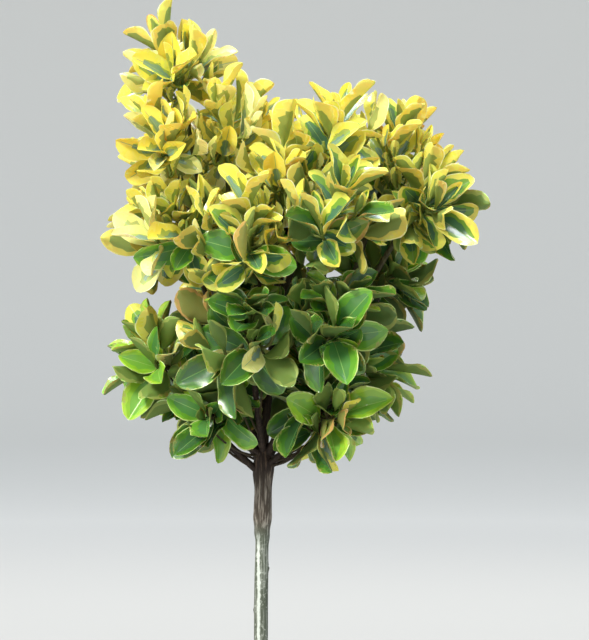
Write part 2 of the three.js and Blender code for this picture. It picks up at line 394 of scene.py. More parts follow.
LEADERS = {
    "spine": Leader(0.965, (-36, 10, 640), (4.6, 3.8)),
    "centre": Leader(1.0, (14, 2, 668), (4.2, 3.3)),
    "prop": Leader(0.985, (58, -34, 622), (4.2, 3.3)),
    "reach": Leader(0.975, (78, 24, 650), (4.2, 3.3)),
}
MASSES = (
    Mass("spire_top", (-85, 0, 896), 55, "spine", 0.99, 5, (-90, -24, 894)),
    Mass("spire_left", (-91, -32, 820), 57, "spine", 0.9, 4, (-90, -60, 826)),
    Mass("spire_right", (-34, -18, 831), 62, "spine", 0.95, 5, (-48, -50, 806)),
    Mass("shoulder_left", (-80, -46, 735), 65, "spine", 0.76, 5, (-72, -82, 742)),
    Mass("back_spire", (-68, 76, 788), 72, "spine", 0.84, 5),
    Mass("breast", (-12, -86, 722), 67, "centre", 0.72, 5, (-12, -112, 728)),
    Mass("saddle", (22, -44, 792), 63, "centre", 0.98, 4, (24, -70, 796)),
    Mass("crest", (74, -24, 814), 61, "centre", 0.9, 5, (68, -50, 834)),
    Mass("back_crest", (30, 86, 770), 76, "centre", 0.82, 5),
    Mass("cheek", (64, -84, 742), 67, "prop", 0.98, 5, (58, -112, 738)),
    Mass("heart", (66, -80, 644), 64, "prop", 0.8, 5, (67, -108, 638)),
    Mass("crest_right", (130, 10, 806), 58, "reach", 0.98, 4, (128, -14, 822)),
    Mass("wing", (158, -28, 766), 56, "reach", 0.88, 5, (166, -42, 766)),
    Mass("under_wing", (116, 44, 693), 56, "reach", 0.68, 3),
    Mass("back_wing", (110, 86, 758), 68, "reach", 0.8, 4),
    Mass("flank_left", (-102, -22, 607), 46, "stem", 0.955, 4, (-106, -42, 606)),
    Mass("skirt_left", (-48, -34, 561), 53, "stem", 0.99, 4),
    Mass("belly", (-12, -80, 632), 67, "stem", 0.995, 5, (-8, -106, 628)),
    Mass("flank_right", (94, 4, 606), 57, "stem", 0.96, 4),
    Mass("skirt_right", (60, -44, 558), 54, "stem", 0.97, 4),
    Mass("back_heart", (-4, 76, 674), 72, "stem", 1.0, 4),
    Mass("back_low_left", (-54, 64, 588), 63, "stem", 0.975, 4),
    Mass("back_low_right", (48, 72, 592), 63, "stem", 0.98, 4),
)


@dataclass
class Boughs:
    """The boughs between the stem and the masses, grown by the solids' rule.

    Sag is a share of a bough's run outwards. Each stops short of the middle of its mass by a share
    of the mass's size. Slack keeps the last height on the stem in the range.
    """

    stem: StemForm
    root: float = 3
    sag: float = 0.2
    stop: float = 0.55
    shortest: float = 20
    stem_margin: float = 1
    slack: float = 0.01
    from_stem: tuple[float, float] = (3.6, 2.5)
    from_leader: tuple[float, float] = (3.0, 2.4)
    limbs: dict[str, Limb] = field(default_factory=dict)

    def line(self, start: Point, tip: Point) -> Line:
        """A bough's line, which leaves outwards and then turns up."""
        chord = tip - start
        return Line(start, start + chord / 2 - UP * self.sag * math.hypot(chord[0], chord[1]), tip)

    def on_stem(self, at: float) -> Point:
        """Where a bough leaves the stem, for a share of the stem's height."""
        return self.stem.middle(self.stem.top * at - self.root)[0]

    def grow(self) -> None:
        """Lays out the leaders and then one bough to each mass."""
        for name, leader in LEADERS.items():
            line = self.line(self.on_stem(leader.at), np.array(leader.tip, float))
            self.limbs[name] = Limb(line, leader.radii)
        for mass in MASSES:
            parent = self.limbs.get(mass.parent)
            start = parent.line.at(mass.at) if parent else self.on_stem(mass.at)
            way = np.array(mass.middle, float) - start
            reach = max(self.shortest, np.linalg.norm(way) - self.stop * mass.size)
            radii = self.from_leader if parent else self.from_stem
            self.limbs[f"to_{mass.name}"] = Limb(self.line(start, start + unit(way) * reach), radii)

    def guards(self) -> tuple[Point, Point, list[str]]:
        """What leaves keep clear of: every bough and the stem's upper wood.

        Returns:
            Points along them, the radius at each and the name of its limb.
        """
        points, radii, names = [], [], []
        for name, limb in self.limbs.items():
            places, widths = limb.guards()
            points.append(places)
            radii.append(widths)
            names += [name] * len(places)
        heights = np.arange(self.stem.graft, self.stem.top + self.slack, GUARD_SPACING)
        points.append(self.stem.middle(heights))
        radii.append(np.full(len(heights), self.stem.scion + self.stem_margin))
        names += ["stem"] * len(heights)
        return np.concatenate(points), np.concatenate(radii), names


@dataclass
class Spray:
    """One mass as it grows: its shoots from the oldest, and the leaves on them."""

    mass: Mass
    number: int
    crown: "Crown"
    shoots: list[Limb] = field(default_factory=list)
    leaves: list[Leaf] = field(default_factory=list)
    blades: list[tuple[Point, float, BVHTree]] = field(default_factory=list)

    # The mass's stem and its side shoots, which are also in the solids.
    TRIES, RETRY_TURN, CHECKS = 8, 0.37, 9
    OUTWARD, REACH, REACH_RANGE = 0.45, 30, 6
    STEM_RADIUS, SIDE_RADIUS, TWIG_TIP = 2.4, 1.8, 1.5
    STEM_LEAN, STEM_BEND = 24, 0.6
    SIDE_LEAN, SIDE_RANGE, SIDE_OUTWARD, SIDE_BEND = 52, 50, 0.25, 0.55
    SIDE_FROM, SIDE_FROM_RANGE = 0.15, 0.45

    # The leaves: how much of a shoot bears them, and how far each try may differ from its pair.
    LEAFY, LOWEST_ROOT = 0.88, 0.02
    LENGTH, LENGTH_RANGE, LENGTH_LOSS = 56, 0.24, 0.03
    STAGGER = 1.3
    SPIN_RANGE, SPIN_MORE = 0.5, 0.1
    LEAN_RANGE, LEAN_MORE = 20, 6
    TWIG_SPACING, TWIG_SHARE = 4, 0.75
    MIDDLE = 0.5

    # The finer twigs, which grow into open places among the leaves.
    FINE_TWIGS, FINE_SEED, CANDIDATES = 18, 50, 140
    FINE_RADIUS, FINE_TIP = 1.3, 1.0
    FINE_REACH, FINE_MARGIN, OPEN = 0.75, 6, 11
    FINE_STARTS = (0.15, 0.3, 0.45, 0.6)
    FINE_LENGTH, FINE_SHORTEST = 34, 14
    FINE_OUTWARD, FINE_BEND = 0.6, 0.5

    # The thin twigs that fan out from the fork, one to every so many of the lowest leaves.
    FAN, FAN_SEED, FAN_TIP, FAN_EVERY = 4, 90, 0.9, 4
    FAN_FROM, FAN_STEP, FAN_SAG = 0.06, 0.15, 0.24

    def __post_init__(self) -> None:
        """Turns the mass's middle into a point."""
        self.middle = np.array(self.mass.middle, float)

    def grow(self) -> None:
        """Grows the shoots and leaves of the solids, and carries them on to finer ones."""
        self.grow_shoots()
        main = list(self.shoots)
        for rank in (Rank.MAIN, Rank.INNER):
            for shoot in main:
                self.grow_leaves(shoot, rank)
        for k in range(self.FINE_TWIGS):
            self.grow_fine_twig(k)
        if self.mass.parent == "stem":
            self.grow_fan()

    def twig_fits(self, line: Line, radius: float, skip: str = "") -> bool:
        """Whether a twig stays in the mass's space and clear of the limbs.

        Args:
            line: the twig's middle line.
            radius: how thick it counts.
            skip: a limb that it may touch.

        Returns:
            True if the twig fits.
        """
        points = line.points(np.linspace(0, 1, self.CHECKS))
        if not self.crown.in_space(self.number, points, radius + GAP):
            return False
        chosen = [i for i, name in enumerate(self.crown.names) if name != skip]
        gaps = np.linalg.norm(points[:, None] - self.crown.guards[None, chosen], axis=2)
        return bool((gaps > self.crown.radii[chosen] + radius + 2 * GAP).all())

    def grow_shoots(self) -> None:
        """Grows the mass's stem from its bough's tip, and its side shoots, one to the lead."""
        name = f"to_{self.mass.name}"
        for k in range(self.mass.shoots):
            for attempt in range(self.TRIES):
                line = self.shape_shoot(name, k, attempt)
                if self.twig_fits(line, self.SIDE_RADIUS, "" if k else name):
                    radii = (self.SIDE_RADIUS if k else self.STEM_RADIUS, self.TWIG_TIP)
                    self.shoots.append(Limb(line, radii, (GROWTH_SEED, self.number, k)))
                    break

    def shape_shoot(self, name: str, k: int, attempt: int) -> Line:
        """One try at a shoot.

        Args:
            name: the bough that bears the mass.
            k: the shoot's number, 0 for the mass's own stem.
            attempt: 0 for the first try, which later tries differ from.

        Returns:
            The shoot's line.
        """
        draws = Draws(GROWTH_SEED, self.number, k, attempt)
        count = self.mass.shoots
        lean = self.SIDE_LEAN + self.SIDE_RANGE * k / count if k else self.STEM_LEAN * draws.one()
        spin = (k + self.RETRY_TURN * attempt) * GOLDEN_ANGLE + self.number
        out = unit(self.OUTWARD * unit(self.middle * (1, 1, 0)) + UP)
        away = turned(out, math.radians(lean), spin)
        reach = self.mass.size - self.REACH + self.REACH_RANGE * draws.one()
        tip = self.middle + away * reach
        if k == 1 and self.mass.lead:
            tip = np.array(self.mass.lead, float)
        if k:
            start = self.shoots[0].line.at(self.SIDE_FROM + self.SIDE_FROM_RANGE * k / count)
            rise = unit(self.SIDE_OUTWARD * unit(tip - self.middle) + UP)
            return Line(start, tip - rise * self.SIDE_BEND * np.linalg.norm(tip - start), tip)
        bough = self.crown.boughs.limbs[name].line
        onward = unit(bough.tip - bough.bend)
        foot = bough.tip + onward * GAP
        bend = foot + onward * self.STEM_BEND * np.linalg.norm(foot - self.middle)
        return Line(foot, bend, tip)

    def grow_leaves(self, shoot: Limb, rank: Rank) -> None:
        """Grows opposite pairs down a shoot, each pair a quarter turn from the last.

        Args:
            shoot: the twig that bears them.
            rank: which pairs it bears.
        """
        phase = Draws(*shoot.seed).one() * math.pi
        for row, pair in enumerate(rank.value):
            if pair.down > self.LEAFY * shoot.line.length:
                return
            turn = row + (len(Rank.MAIN.value) - 1 if rank is Rank.INNER and row else 0)
            for side in (0, 1):
                angle = phase + turn * math.pi / 2 + side * math.pi
                for attempt in range(self.TRIES):
                    leaf = self.shape_leaf(shoot, pair, side, angle, attempt)
                    if self.place(leaf):
                        leaf.shoot = shoot.seed[-1]
                        break

    def shape_leaf(self, shoot: Limb, pair: Pair, side: int, angle: float, attempt: int) -> Leaf:
        """One try at a leaf.

        Args:
            shoot: the twig that bears it.
            pair: the pair that it belongs to.
            side: 0 or 1, for the first or second of the pair.
            angle: radians round the twig.
            attempt: 0 for the first try, which later tries differ from.

        Returns:
            The leaf.
        """
        draws = Draws(*shoot.seed, pair.down, side, attempt)
        down = pair.down + self.STAGGER * (side + draws.one())
        share = max(1 - down / shoot.line.length, self.LOWEST_ROOT)
        axis = shoot.line.axis(share)
        spin = angle + draws.about(self.SPIN_RANGE + self.SPIN_MORE * attempt)
        lean = math.radians(pair.lean + draws.about(self.LEAN_RANGE + self.LEAN_MORE * attempt))
        outward = turned(axis, math.pi / 2, spin)
        length = self.LENGTH * pair.size * (1 + draws.about(self.LENGTH_RANGE))
        length = length * (1 - self.LENGTH_LOSS * attempt)
        along = turned(axis, lean, spin)
        return Leaf(shoot.line.at(share), along, np.cross(axis, outward), length, pair.age)

    def place(self, leaf: Leaf) -> bool:
        """Keeps a leaf if it stays in the mass's space, off the limbs and off earlier leaves.

        Args:
            leaf: the leaf to place.

        Returns:
            True if it is kept.
        """
        corners = leaf.wedge(-leaf.SUNK)
        if not self.crown.in_space(self.number, corners, GAP):
            return False
        centre = (corners.min(0) + corners.max(0)) / 2
        radius = float(np.linalg.norm(corners - centre, axis=1).max())
        guards, radii = self.crown.guards, self.crown.radii + 2 * GAP
        near = np.linalg.norm(guards - centre, axis=1) < radius + radii
        if touches(leaf.tree(-leaf.SUNK), guards[near], radii[near]):
            return False
        blade = leaf.tree(leaf.BLADE_START * leaf.length)
        for place, reach, other in self.blades:
            if np.linalg.norm(place - centre) < radius + reach and blade.overlap(other):
                return False
        for shoot in self.shoots:
            points, widths = shoot.guards(self.TWIG_SPACING)
            near = np.linalg.norm(points - centre, axis=1) < radius + widths
            if touches(blade, points[near], self.TWIG_SHARE * widths[near]):
                return False
        self.blades.append((centre, radius, blade))
        self.leaves.append(leaf)
        return True

    def open_tips(self, draws: Draws) -> list[Point]:
        """Places where a finer twig could end.

        Args:
            draws: the run of numbers that they are drawn from.

        Returns:
            The places that are in the mass's space and away from the limbs.
        """
        ways = np.array([[draws.about(2) for _ in range(3)] for _ in range(self.CANDIDATES)])
        far = np.linalg.norm(ways, axis=1)
        tips = self.middle + ways * (self.mass.size - self.FINE_REACH * self.REACH)
        return [
            tip
            for tip, reach in zip(tips, far, strict=True)
            if (reach < 1 or self.crown.between(self.number, tip))
            and self.crown.in_space(self.number, tip[None], self.FINE_MARGIN)
            and np.linalg.norm(self.crown.guards - tip, axis=1).min() > self.OPEN
        ]

    def grow_fine_twig(self, k: int) -> None:
        """Grows one finer twig into the emptiest part of the space, from the nearest shoot.

        Args:
            k: its number in the mass.
        """
        seed = (GROWTH_SEED, self.number, self.FINE_SEED + k)
        tips = self.open_tips(Draws(*seed))
        if not tips:
            return
        heads = np.array(
            [leaf.root + self.MIDDLE * leaf.length * leaf.along for leaf in self.leaves]
        )
        tip = tips[int(np.argmax([np.linalg.norm(heads - tip, axis=1).min() for tip in tips]))]
        main = self.shoots[: self.mass.shoots]
        starts = [shoot.line.at(share) for shoot in main for share in self.FINE_STARTS]
        start = min(starts, key=lambda p: abs(np.linalg.norm(p - tip) - self.FINE_LENGTH))
        rise = unit(self.FINE_OUTWARD * unit(tip - self.middle) + UP)
        line = Line(start, tip - rise * self.FINE_BEND * np.linalg.norm(tip - start), tip)
        if line.length < self.FINE_SHORTEST or not self.twig_fits(line, self.FINE_RADIUS):
            return
        fine = Limb(line, (self.FINE_RADIUS, self.FINE_TIP), seed)
        self.shoots.append(fine)
        self.grow_leaves(fine, Rank.FINE)

    def grow_fan(self) -> None:
        """Grows thin twigs from near the foot of the mass's bough out to its lowest leaves."""
        bough = self.crown.boughs.limbs[f"to_{self.mass.name}"].line
        low = sorted(self.leaves, key=lambda leaf: leaf.root[2])
        for k, leaf in enumerate(low[: self.FAN_EVERY * self.FAN : self.FAN_EVERY]):
            start = bough.at(self.FAN_FROM + self.FAN_STEP * k)
            way = leaf.root - start
            bend = start + way / 2 - UP * self.FAN_SAG * math.hypot(way[0], way[1])
            seed = (GROWTH_SEED, self.number, self.FAN_SEED + k)
            line = Line(start, bend, leaf.root)
            self.shoots.append(Limb(line, (self.FINE_RADIUS, self.FAN_TIP), seed))


def touches(tree: BVHTree, points: Point, radii: Point) -> bool:
    """Whether a shape comes nearer to any point than the radius given for it."""
    near = (tree.find_nearest(Vector(p), float(r))[0] for p, r in zip(points, radii, strict=True))
    return any(place is not None for place in near)


@dataclass
class Crown:
    """All the masses, each in a space of its own."""

    boughs: Boughs

    BETWEEN_MARGIN = 6

    def __post_init__(self) -> None:
        """Measures the spaces and the limbs that leaves keep clear of."""
        self.guards, self.radii, self.names = self.boughs.guards()
        self.middles = np.array([mass.middle for mass in MASSES], float)
        self.sizes = np.array([mass.size for mass in MASSES], float)
        self.sprays = [Spray(mass, number, self) for number, mass in enumerate(MASSES, 1)]

    def in_space(self, number: int, points: Point, margin: float) -> bool:
        """Whether points are all in a mass's own space.

        Args:
            number: the mass's number, from 1.
            points: the points.
            margin: millimetres to keep from the plane that parts it from each neighbour.

        Returns:
            True if none of them leaves the space.
        """
        own = number - 1
        power = ((points[:, None] - self.middles) ** 2).sum(2) - self.sizes**2
        apart = np.linalg.norm(self.middles - self.middles[own], axis=1)
        excess = power - power[:, own : own + 1] - 2 * margin * apart
        return bool((np.delete(excess, own, axis=1) >= 0).all())

    def between(self, number: int, point: Point) -> bool:
        """Whether a point lies in among a mass's neighbours, and so not on the outline."""
        far = np.linalg.norm(self.middles - point, axis=1)
        return bool(np.delete(far < self.sizes - self.BETWEEN_MARGIN, number - 1).any())

    def grow(self) -> None:
        """Grows every mass."""
        for spray in self.sprays:
            spray.grow()
            counts = len(spray.shoots), len(spray.leaves)
            LOG.info("%s: %d shoots, %d leaves", spray.mass.name, *counts)


class Zone(Enum):
    """The parts of a leaf that differ in colour."""

    HEART = 0
    FLESH = 1
    MARGIN = 2
    # the pale rim: partly the leaf's own paler edge, partly a painted highlight along it
    EDGE = 3
    RIB = 4
    UNDER = 5
    UNDER_MARGIN = 6


def linear(code: str) -> Colour:
    """The linear colour for a six-figure sRGB code."""
    shares = [int(code[i : i + 2], 16) / 255 for i in (0, 2, 4)]
    return (*(s / 12.92 if s <= 0.04045 else ((s + 0.055) / 1.055) ** 2.4 for s in shares), 1.0)


@dataclass(frozen=True)
class Tint:
    """The plain colours of one kind of leaf, in the order of Zone, and its share of a pattern."""

    name: str
    share: float
    colours: str

    def colour(self, zone: Zone) -> Colour:
        """The colour of a zone."""
        return linear(self.colours.split()[zone.value])


@dataclass(frozen=True)
class Variegation:
    """How far the green spreads in a leaf: ranges of the flesh's width and end, then the heart's.

    Breadth and cup are shares of what a leaf's age gives. Waist is how far out the leaf is widest.
    """

    flesh: tuple[float, float]
    flesh_end: tuple[float, float]
    heart: tuple[float, float]
    heart_end: tuple[float, float]
    breadth: float
    cup: float
    waist: float
    tints: tuple[Tint, ...]


class Pattern(Enum):
    """The three kinds of leaf, from the tops of the shoots in the sun down to the shade."""

    # Each tint's fourth colour is the pale rim: partly the leaf's own edge, partly a painted
    # highlight.
    GOLD = Variegation(
        (0.4, 0.62), (0.58, 0.82), (0.26, 0.44), (0.46, 0.7), 0.88, 1.15, 0.8,
        (
            # The first colour, the heart, is blue-grey: partly the leaf's own grey-green, partly a
            # painted reflection of the sky's sheen.
            Tint("lemon", 0.48, "78998a 9cb056 f0e55c fbf6bc 96b080 97a452 e8de6c"),
            Tint("butter", 0.26, "92ac9e b6c272 f4ed92 fdfad6 abc08f a8b062 eee694"),
            Tint("sun", 0.26, "728f74 9eaa4e f2dc54 f8ec92 94a96c 949c4c ead65c"),
        ),
    )
    HALF = Variegation(
        (0.62, 0.8), (0.78, 0.94), (0.4, 0.56), (0.62, 0.82), 0.94, 1.0, 0.76,
        (
            Tint("citron", 0.6, "527e60 7ea840 e5e160 f3f0b0 83a86c 86984a d8d05c"),
            Tint("olive", 0.36, "4a724e 709838 dccf56 eee6a0 78995c 7d8c44 ccc058"),
            Tint("amber", 0.04, "64843c 98a044 dcae54 f0cc90 a0a060 949449 cfae5c"),
        ),
    )
    GREEN = Variegation(
        (0.84, 0.9), (0.96, 0.98), (0.5, 0.64), (0.78, 0.88), 0.96, 0.75, 0.72,
        (
            # The sixth colour, the underside, is a dark olive: partly its own colour, partly
            # painted shade because it faces down.
            Tint("deep", 0.47, "3b6434 437222 568828 d2e688 66904a 5c7438 869648"),
            Tint("fresh", 0.29, "508640 629c2c 7ab036 dcee90 80aa58 70893f 94a452"),
            Tint("lime", 0.21, "78ae40 90be32 a8d040 e8f69a 9ac05a 829e48 aabc58"),
            Tint("tan", 0.03, "5c8440 869c42 c8a652 e8c68a 96a060 8c9048 c49c58"),
        ),
    )


TINTS = [tint for pattern in Pattern for tint in pattern.value.tints]


@dataclass(frozen=True)
class Bend:
    """How a leaf is bent, in degrees, and its width as a share of its length.

    Fold is at the midrib, roll is added towards the edges, and droop is along the leaf.
    """

    fold: float
    roll: float
    droop: float
    width: float


BENDS = {
    Age.YOUNG: Bend(30, 36, -14, 0.5),
    Age.GROWN: Bend(16, 34, 14, 0.62),
    Age.OLD: Bend(10, 24, 32, 0.62),
}


@dataclass
class LeafShape:
    """One shape of leaf, one metre long along X, with its upper face towards +Z.

    Each row across it has 10 vertices on the upper face, from edge to edge, and 5 more below.
    """

    pattern: Pattern
    age: Age
    variant: int
    thickness: float = 0.014
    stalk: float = 0.018
    stalk_end: float = 0.07
    stalk_swell: float = 1.6
    rib: float = 0.026
    rib_end: float = 0.85
    rim: float = 0.93
    vein: float = 0.006
    vein_turn: float = 2.1
    vein_range: tuple[float, float] = (0.1, 0.92)
    wave: float = 0.16
    wave_turn: float = 9.4
    wave_shift: float = 1.3
    twist_from: float = 0.3
    jag: float = 0.012

    # The rows of vertices, and each row's numbers on the upper and the lower face.
    ROWS = (0.0, 0.06, 0.12, 0.19, 0.27, 0.35, 0.43, 0.51, 0.59, 0.67, 0.75, 0.83, 0.9, 0.96)
    UPPER = tuple(range(10))
    LOWER = (0, 10, 11, 12, 13, 14, 9)
    EDGES = (0, 9)
    RING = 15
    SMOOTH_ROWS = 2

    # What is drawn for each variant: factors of its bend, and then its form.
    VARIANTS, SEED, SEED_STEP = 8, 11, 100
    FOLDS, DROOPS, UNEVEN = (0.7, 1.3), (0.6, 1.3), (-0.06, 0.06)
    PHASES, TWISTS, TAPERS = (0, 6.28), (-0.35, 0.35), (0.5, 0.72)

    # The ragged borders of the green flesh and of its darker heart.
    LEAST_SPREAD = 0.35
    FLESH_RAGGED, FLESH_LEAST, FLESH_INSET = (-0.13, 0.13), 0.2, 0.04
    HEART_RAGGED, HEART_LEAST, HEART_INSET = (-0.09, 0.09), 0.1, 0.06

    # From edge to midrib: how deep the side veins are above, and the depth and the veins below.
    UPPER_VEIN = (0, 0.3, 1, 0.8, 0)
    LOWER_DEPTHS = ((0.7, 1), (1.1, 0.8), (1.6, 0))

    @classmethod
    def every(cls) -> list["LeafShape"]:
        """All the shapes, in the order of their numbers."""
        return [cls(p, a, v) for p in Pattern for a in BENDS for v in range(cls.VARIANTS)]

    @classmethod
    def number(cls, pattern: Pattern, age: Age, variant: int) -> int:
        """The place of a shape in that order.

        Args:
            pattern: how green and gold lie on it.
            age: how it is bent.
            variant: which of the shapes of that pattern and age.

        Returns:
            Its number, from 0.
        """
        ages = list(BENDS)
        kind = list(Pattern).index(pattern) * len(ages) + ages.index(age)
        return kind * cls.VARIANTS + variant

    def half_width(self, u: Point) -> Point:
        """Half the leaf's width.

        Args:
            u: shares of its length.

        Returns:
            Half the width at each.
        """
        blade = np.clip((u - self.stalk_end) / (1 - self.stalk_end), 0, 1)
        foot, tip = self.pattern.value.waist, self.taper
        peak = foot / (foot + tip)
        shape = blade**foot * (1 - blade) ** tip / (peak**foot * (1 - peak) ** tip)
        half = self.bend.width * self.pattern.value.breadth / 2
        return np.maximum(half * shape, self.stalk * (1 - blade))

    def surface(self, u: Point, v: Point, sunk: Point) -> Point:
        """Points of the leaf.

        Args:
            u: shares of its length.
            v: shares of its half width, positive towards +Y.
            sunk: distances below its upper face.

        Returns:
            The points, in metres for a leaf of one metre.
        """
        fold = math.radians(self.bend.fold * self.fold_factor)
        roll = math.radians(self.bend.roll * self.pattern.value.cup)
        half = self.half_width(u) * (1 + self.uneven * np.sign(v))
        slope = fold + roll * np.abs(v)
        y = half * (np.sin(slope) - math.sin(fold)) / roll * np.sign(v)
        z = half * (math.cos(fold) - np.cos(slope)) / roll
        ripple = np.sin(self.wave_turn * u + self.phase + self.wave_shift * np.sign(v))
        z = z + self.wave * half * np.abs(v) ** 3 * ripple - sunk
        twist = self.twist * (u - self.twist_from)
        cos, sin = np.cos(twist), np.sin(twist)
        y, z = y * cos - z * sin, y * sin + z * cos
        droop = math.radians(self.bend.droop * self.droop_factor)
        pitch = droop * (0.5 - u)
        along = (math.sin(droop / 2) - np.sin(pitch)) / droop
        rise = (np.cos(pitch) - math.cos(droop / 2)) / droop
        return np.stack([along - z * np.sin(pitch), y, rise + z * np.cos(pitch)], axis=-1)

    def build(self) -> bpy.types.Object:
        """Makes the leaf as a closed mesh whose faces know their zones.

        Returns:
            The leaf's object, which isn't in the scene.
        """
        number = LeafShape.number(self.pattern, self.age, self.variant)
        rng = np.random.default_rng(self.SEED_STEP * number + self.SEED)
        self.vary(rng)
        reach = {Zone.FLESH: self.pattern.value.flesh_end, Zone.HEART: self.pattern.value.heart_end}
        ends = {zone: rng.uniform(*limits) for zone, limits in reach.items()}
        rows = np.array(self.ROWS)
        across = np.array([self.columns(u, ends, rng) for u in rows])
        sunk = np.array([self.depths(i, u) for i, u in enumerate(rows)])
        grid = self.surface(rows[:, None] + np.zeros((1, self.RING)), across, sunk)
        jag = 1 + self.jag * np.where(np.arange(len(rows)) % 2, 1, -1)
        grid[self.SMOOTH_ROWS :, :, 1] *= jag[self.SMOOTH_ROWS :, None]
        tip = self.surface(np.array([1.0]), np.array([0.0]), np.array([0.0]))
        faces, zones = self.faces(ends)
        mesh = bpy.data.meshes.new(f"leaf_shape_{number:02d}")
        mesh.from_pydata(np.concatenate([grid.reshape(-1, 3), tip]).tolist(), [], faces)
        mesh.attributes.new("zone", "INT", "FACE").data.foreach_set("value", zones)
        self.sharpen_rim(mesh)
        return bpy.data.objects.new(mesh.name, mesh)

    def vary(self, rng: np.random.Generator) -> None:
        """Draws how this leaf differs from others of its age.

        Args:
            rng: the leaf's run of numbers.
        """
        self.bend = BENDS[self.age]
        self.fold_factor = rng.uniform(*self.FOLDS)
        self.droop_factor = rng.uniform(*self.DROOPS)
        self.uneven = rng.uniform(*self.UNEVEN)
        self.phase = rng.uniform(*self.PHASES)
        self.twist = rng.uniform(*self.TWISTS)
        self.taper = rng.uniform(*self.TAPERS)

    def columns(self, u: float, ends: dict[Zone, float], rng: np.random.Generator) -> list[float]:
        """Where the vertices of a row lie across the leaf.

        Args:
            u: the row's share of the length.
            ends: where the green zones end.
            rng: the leaf's run of numbers, which makes the zones' borders ragged.

        Returns:
            Shares of the half width, for the upper face and then the lower one.
        """
        green = self.pattern.value
        least = self.LEAST_SPREAD
        sides = []
        for _ in range(2):
            spread = {
                zone: least + (1 - least) * max(1 - (u / end) ** 3, 0.0) ** 0.5
                for zone, end in ends.items()
            }
            flesh = rng.uniform(*green.flesh) * spread[Zone.FLESH] + rng.uniform(*self.FLESH_RAGGED)
            heart = rng.uniform(*green.heart) * spread[Zone.HEART] + rng.uniform(*self.HEART_RAGGED)
            flesh = min(max(flesh, self.FLESH_LEAST), self.rim - self.FLESH_INSET)
            heart = min(max(heart, self.HEART_LEAST), flesh - self.HEART_INSET)
            sides.append([1, self.rim, flesh, heart, self.rib])
        left, right = sides
        upper = left + [-v for v in reversed(right)]
        return upper + [left[2], left[3], 0, -right[3], -right[2]]

    def depths(self, i: int, u: float) -> list[float]:
        """How far the vertices of a row lie below the upper face.

        Args:
            i: the row's number.
            u: its share of the length.

        Returns:
            The depths, for the upper face, where side veins sink it, and then the lower one.
        """
        low, high = self.vein_range
        thick = self.thickness * (self.stalk_swell if u < low else 1)
        vein = self.vein * math.sin(self.vein_turn * i) * (low < u < high)
        upper = [share * vein for share in self.UPPER_VEIN]
        lower = [deep * thick + share * vein for deep, share in self.LOWER_DEPTHS]
        return upper + upper[::-1] + lower + lower[1::-1]

    def faces(self, ends: dict[Zone, float]) -> tuple[list[Face], list[int]]:
        """The faces of the leaf and their zones.

        Args:
            ends: where the green zones end.

        Returns:
            The faces as vertex numbers, and the zone of each.
        """
        # the rim's faces carry the pale edge with its painted highlight
        top = [Zone.EDGE, Zone.MARGIN, Zone.FLESH, Zone.HEART, Zone.RIB]
        top += top[-2::-1]
        under = [Zone.UNDER_MARGIN, *[Zone.UNDER] * 4, Zone.UNDER_MARGIN]
        tip = self.RING * len(self.ROWS)
        faces, zones = [(*self.UPPER[::-1], *self.LOWER[1:-1])], [Zone.RIB]
        for i, u in enumerate(self.ROWS):
            last = i == len(self.ROWS) - 1
            for strip, kinds, step in ((self.UPPER, top, 1), (self.LOWER, under, -1)):
                for j, kind in enumerate(kinds):
                    a, b = self.RING * i + strip[j], self.RING * i + strip[j + 1]
                    face = (a, b, tip) if last else (a, b, b + self.RING, a + self.RING)
                    faces.append(face[::step])
                    zones.append(self.zone_at(kind, u, ends))
        return faces, [zone.value for zone in zones]

    def zone_at(self, kind: Zone, u: float, ends: dict[Zone, float]) -> Zone:
        """The zone of a face, which turns to the next one out where the green ends.

        Args:
            kind: the zone of the face's column.
            u: its share of the length.
            ends: where the green zones end.

        Returns:
            The face's own zone.
        """
        if u < self.stalk_end:
            return Zone.UNDER if kind in (Zone.UNDER, Zone.UNDER_MARGIN) else Zone.RIB
        if kind is Zone.RIB and u > self.rib_end:
            kind = Zone.HEART
        if kind is Zone.HEART and u > ends[Zone.HEART]:
            kind = Zone.FLESH
        if kind is Zone.FLESH and u > ends[Zone.FLESH]:
            kind = Zone.MARGIN
        if kind is Zone.UNDER and u > ends[Zone.FLESH]:
            kind = Zone.UNDER_MARGIN
        return kind

    def sharpen_rim(self, mesh: bpy.types.Mesh) -> None:
        """Marks the edge between the upper and lower faces as sharp, and the rest as smooth.

        Args:
            mesh: the leaf's mesh.
        """
        rim = np.zeros(len(mesh.vertices), bool)
        rim[[self.RING * i + j for i in range(len(self.ROWS)) for j in self.EDGES]] = True
        rim[-1] = True
        ends = np.zeros(2 * len(mesh.edges), int)
        mesh.edges.foreach_get("vertices", ends)
        sharp = rim[ends.reshape(-1, 2)].all(axis=1)
        mesh.attributes.new("sharp_edge", "BOOLEAN", "EDGE").data.foreach_set("value", sharp)
        mesh.polygons.foreach_set("use_smooth", [True] * len(mesh.polygons))


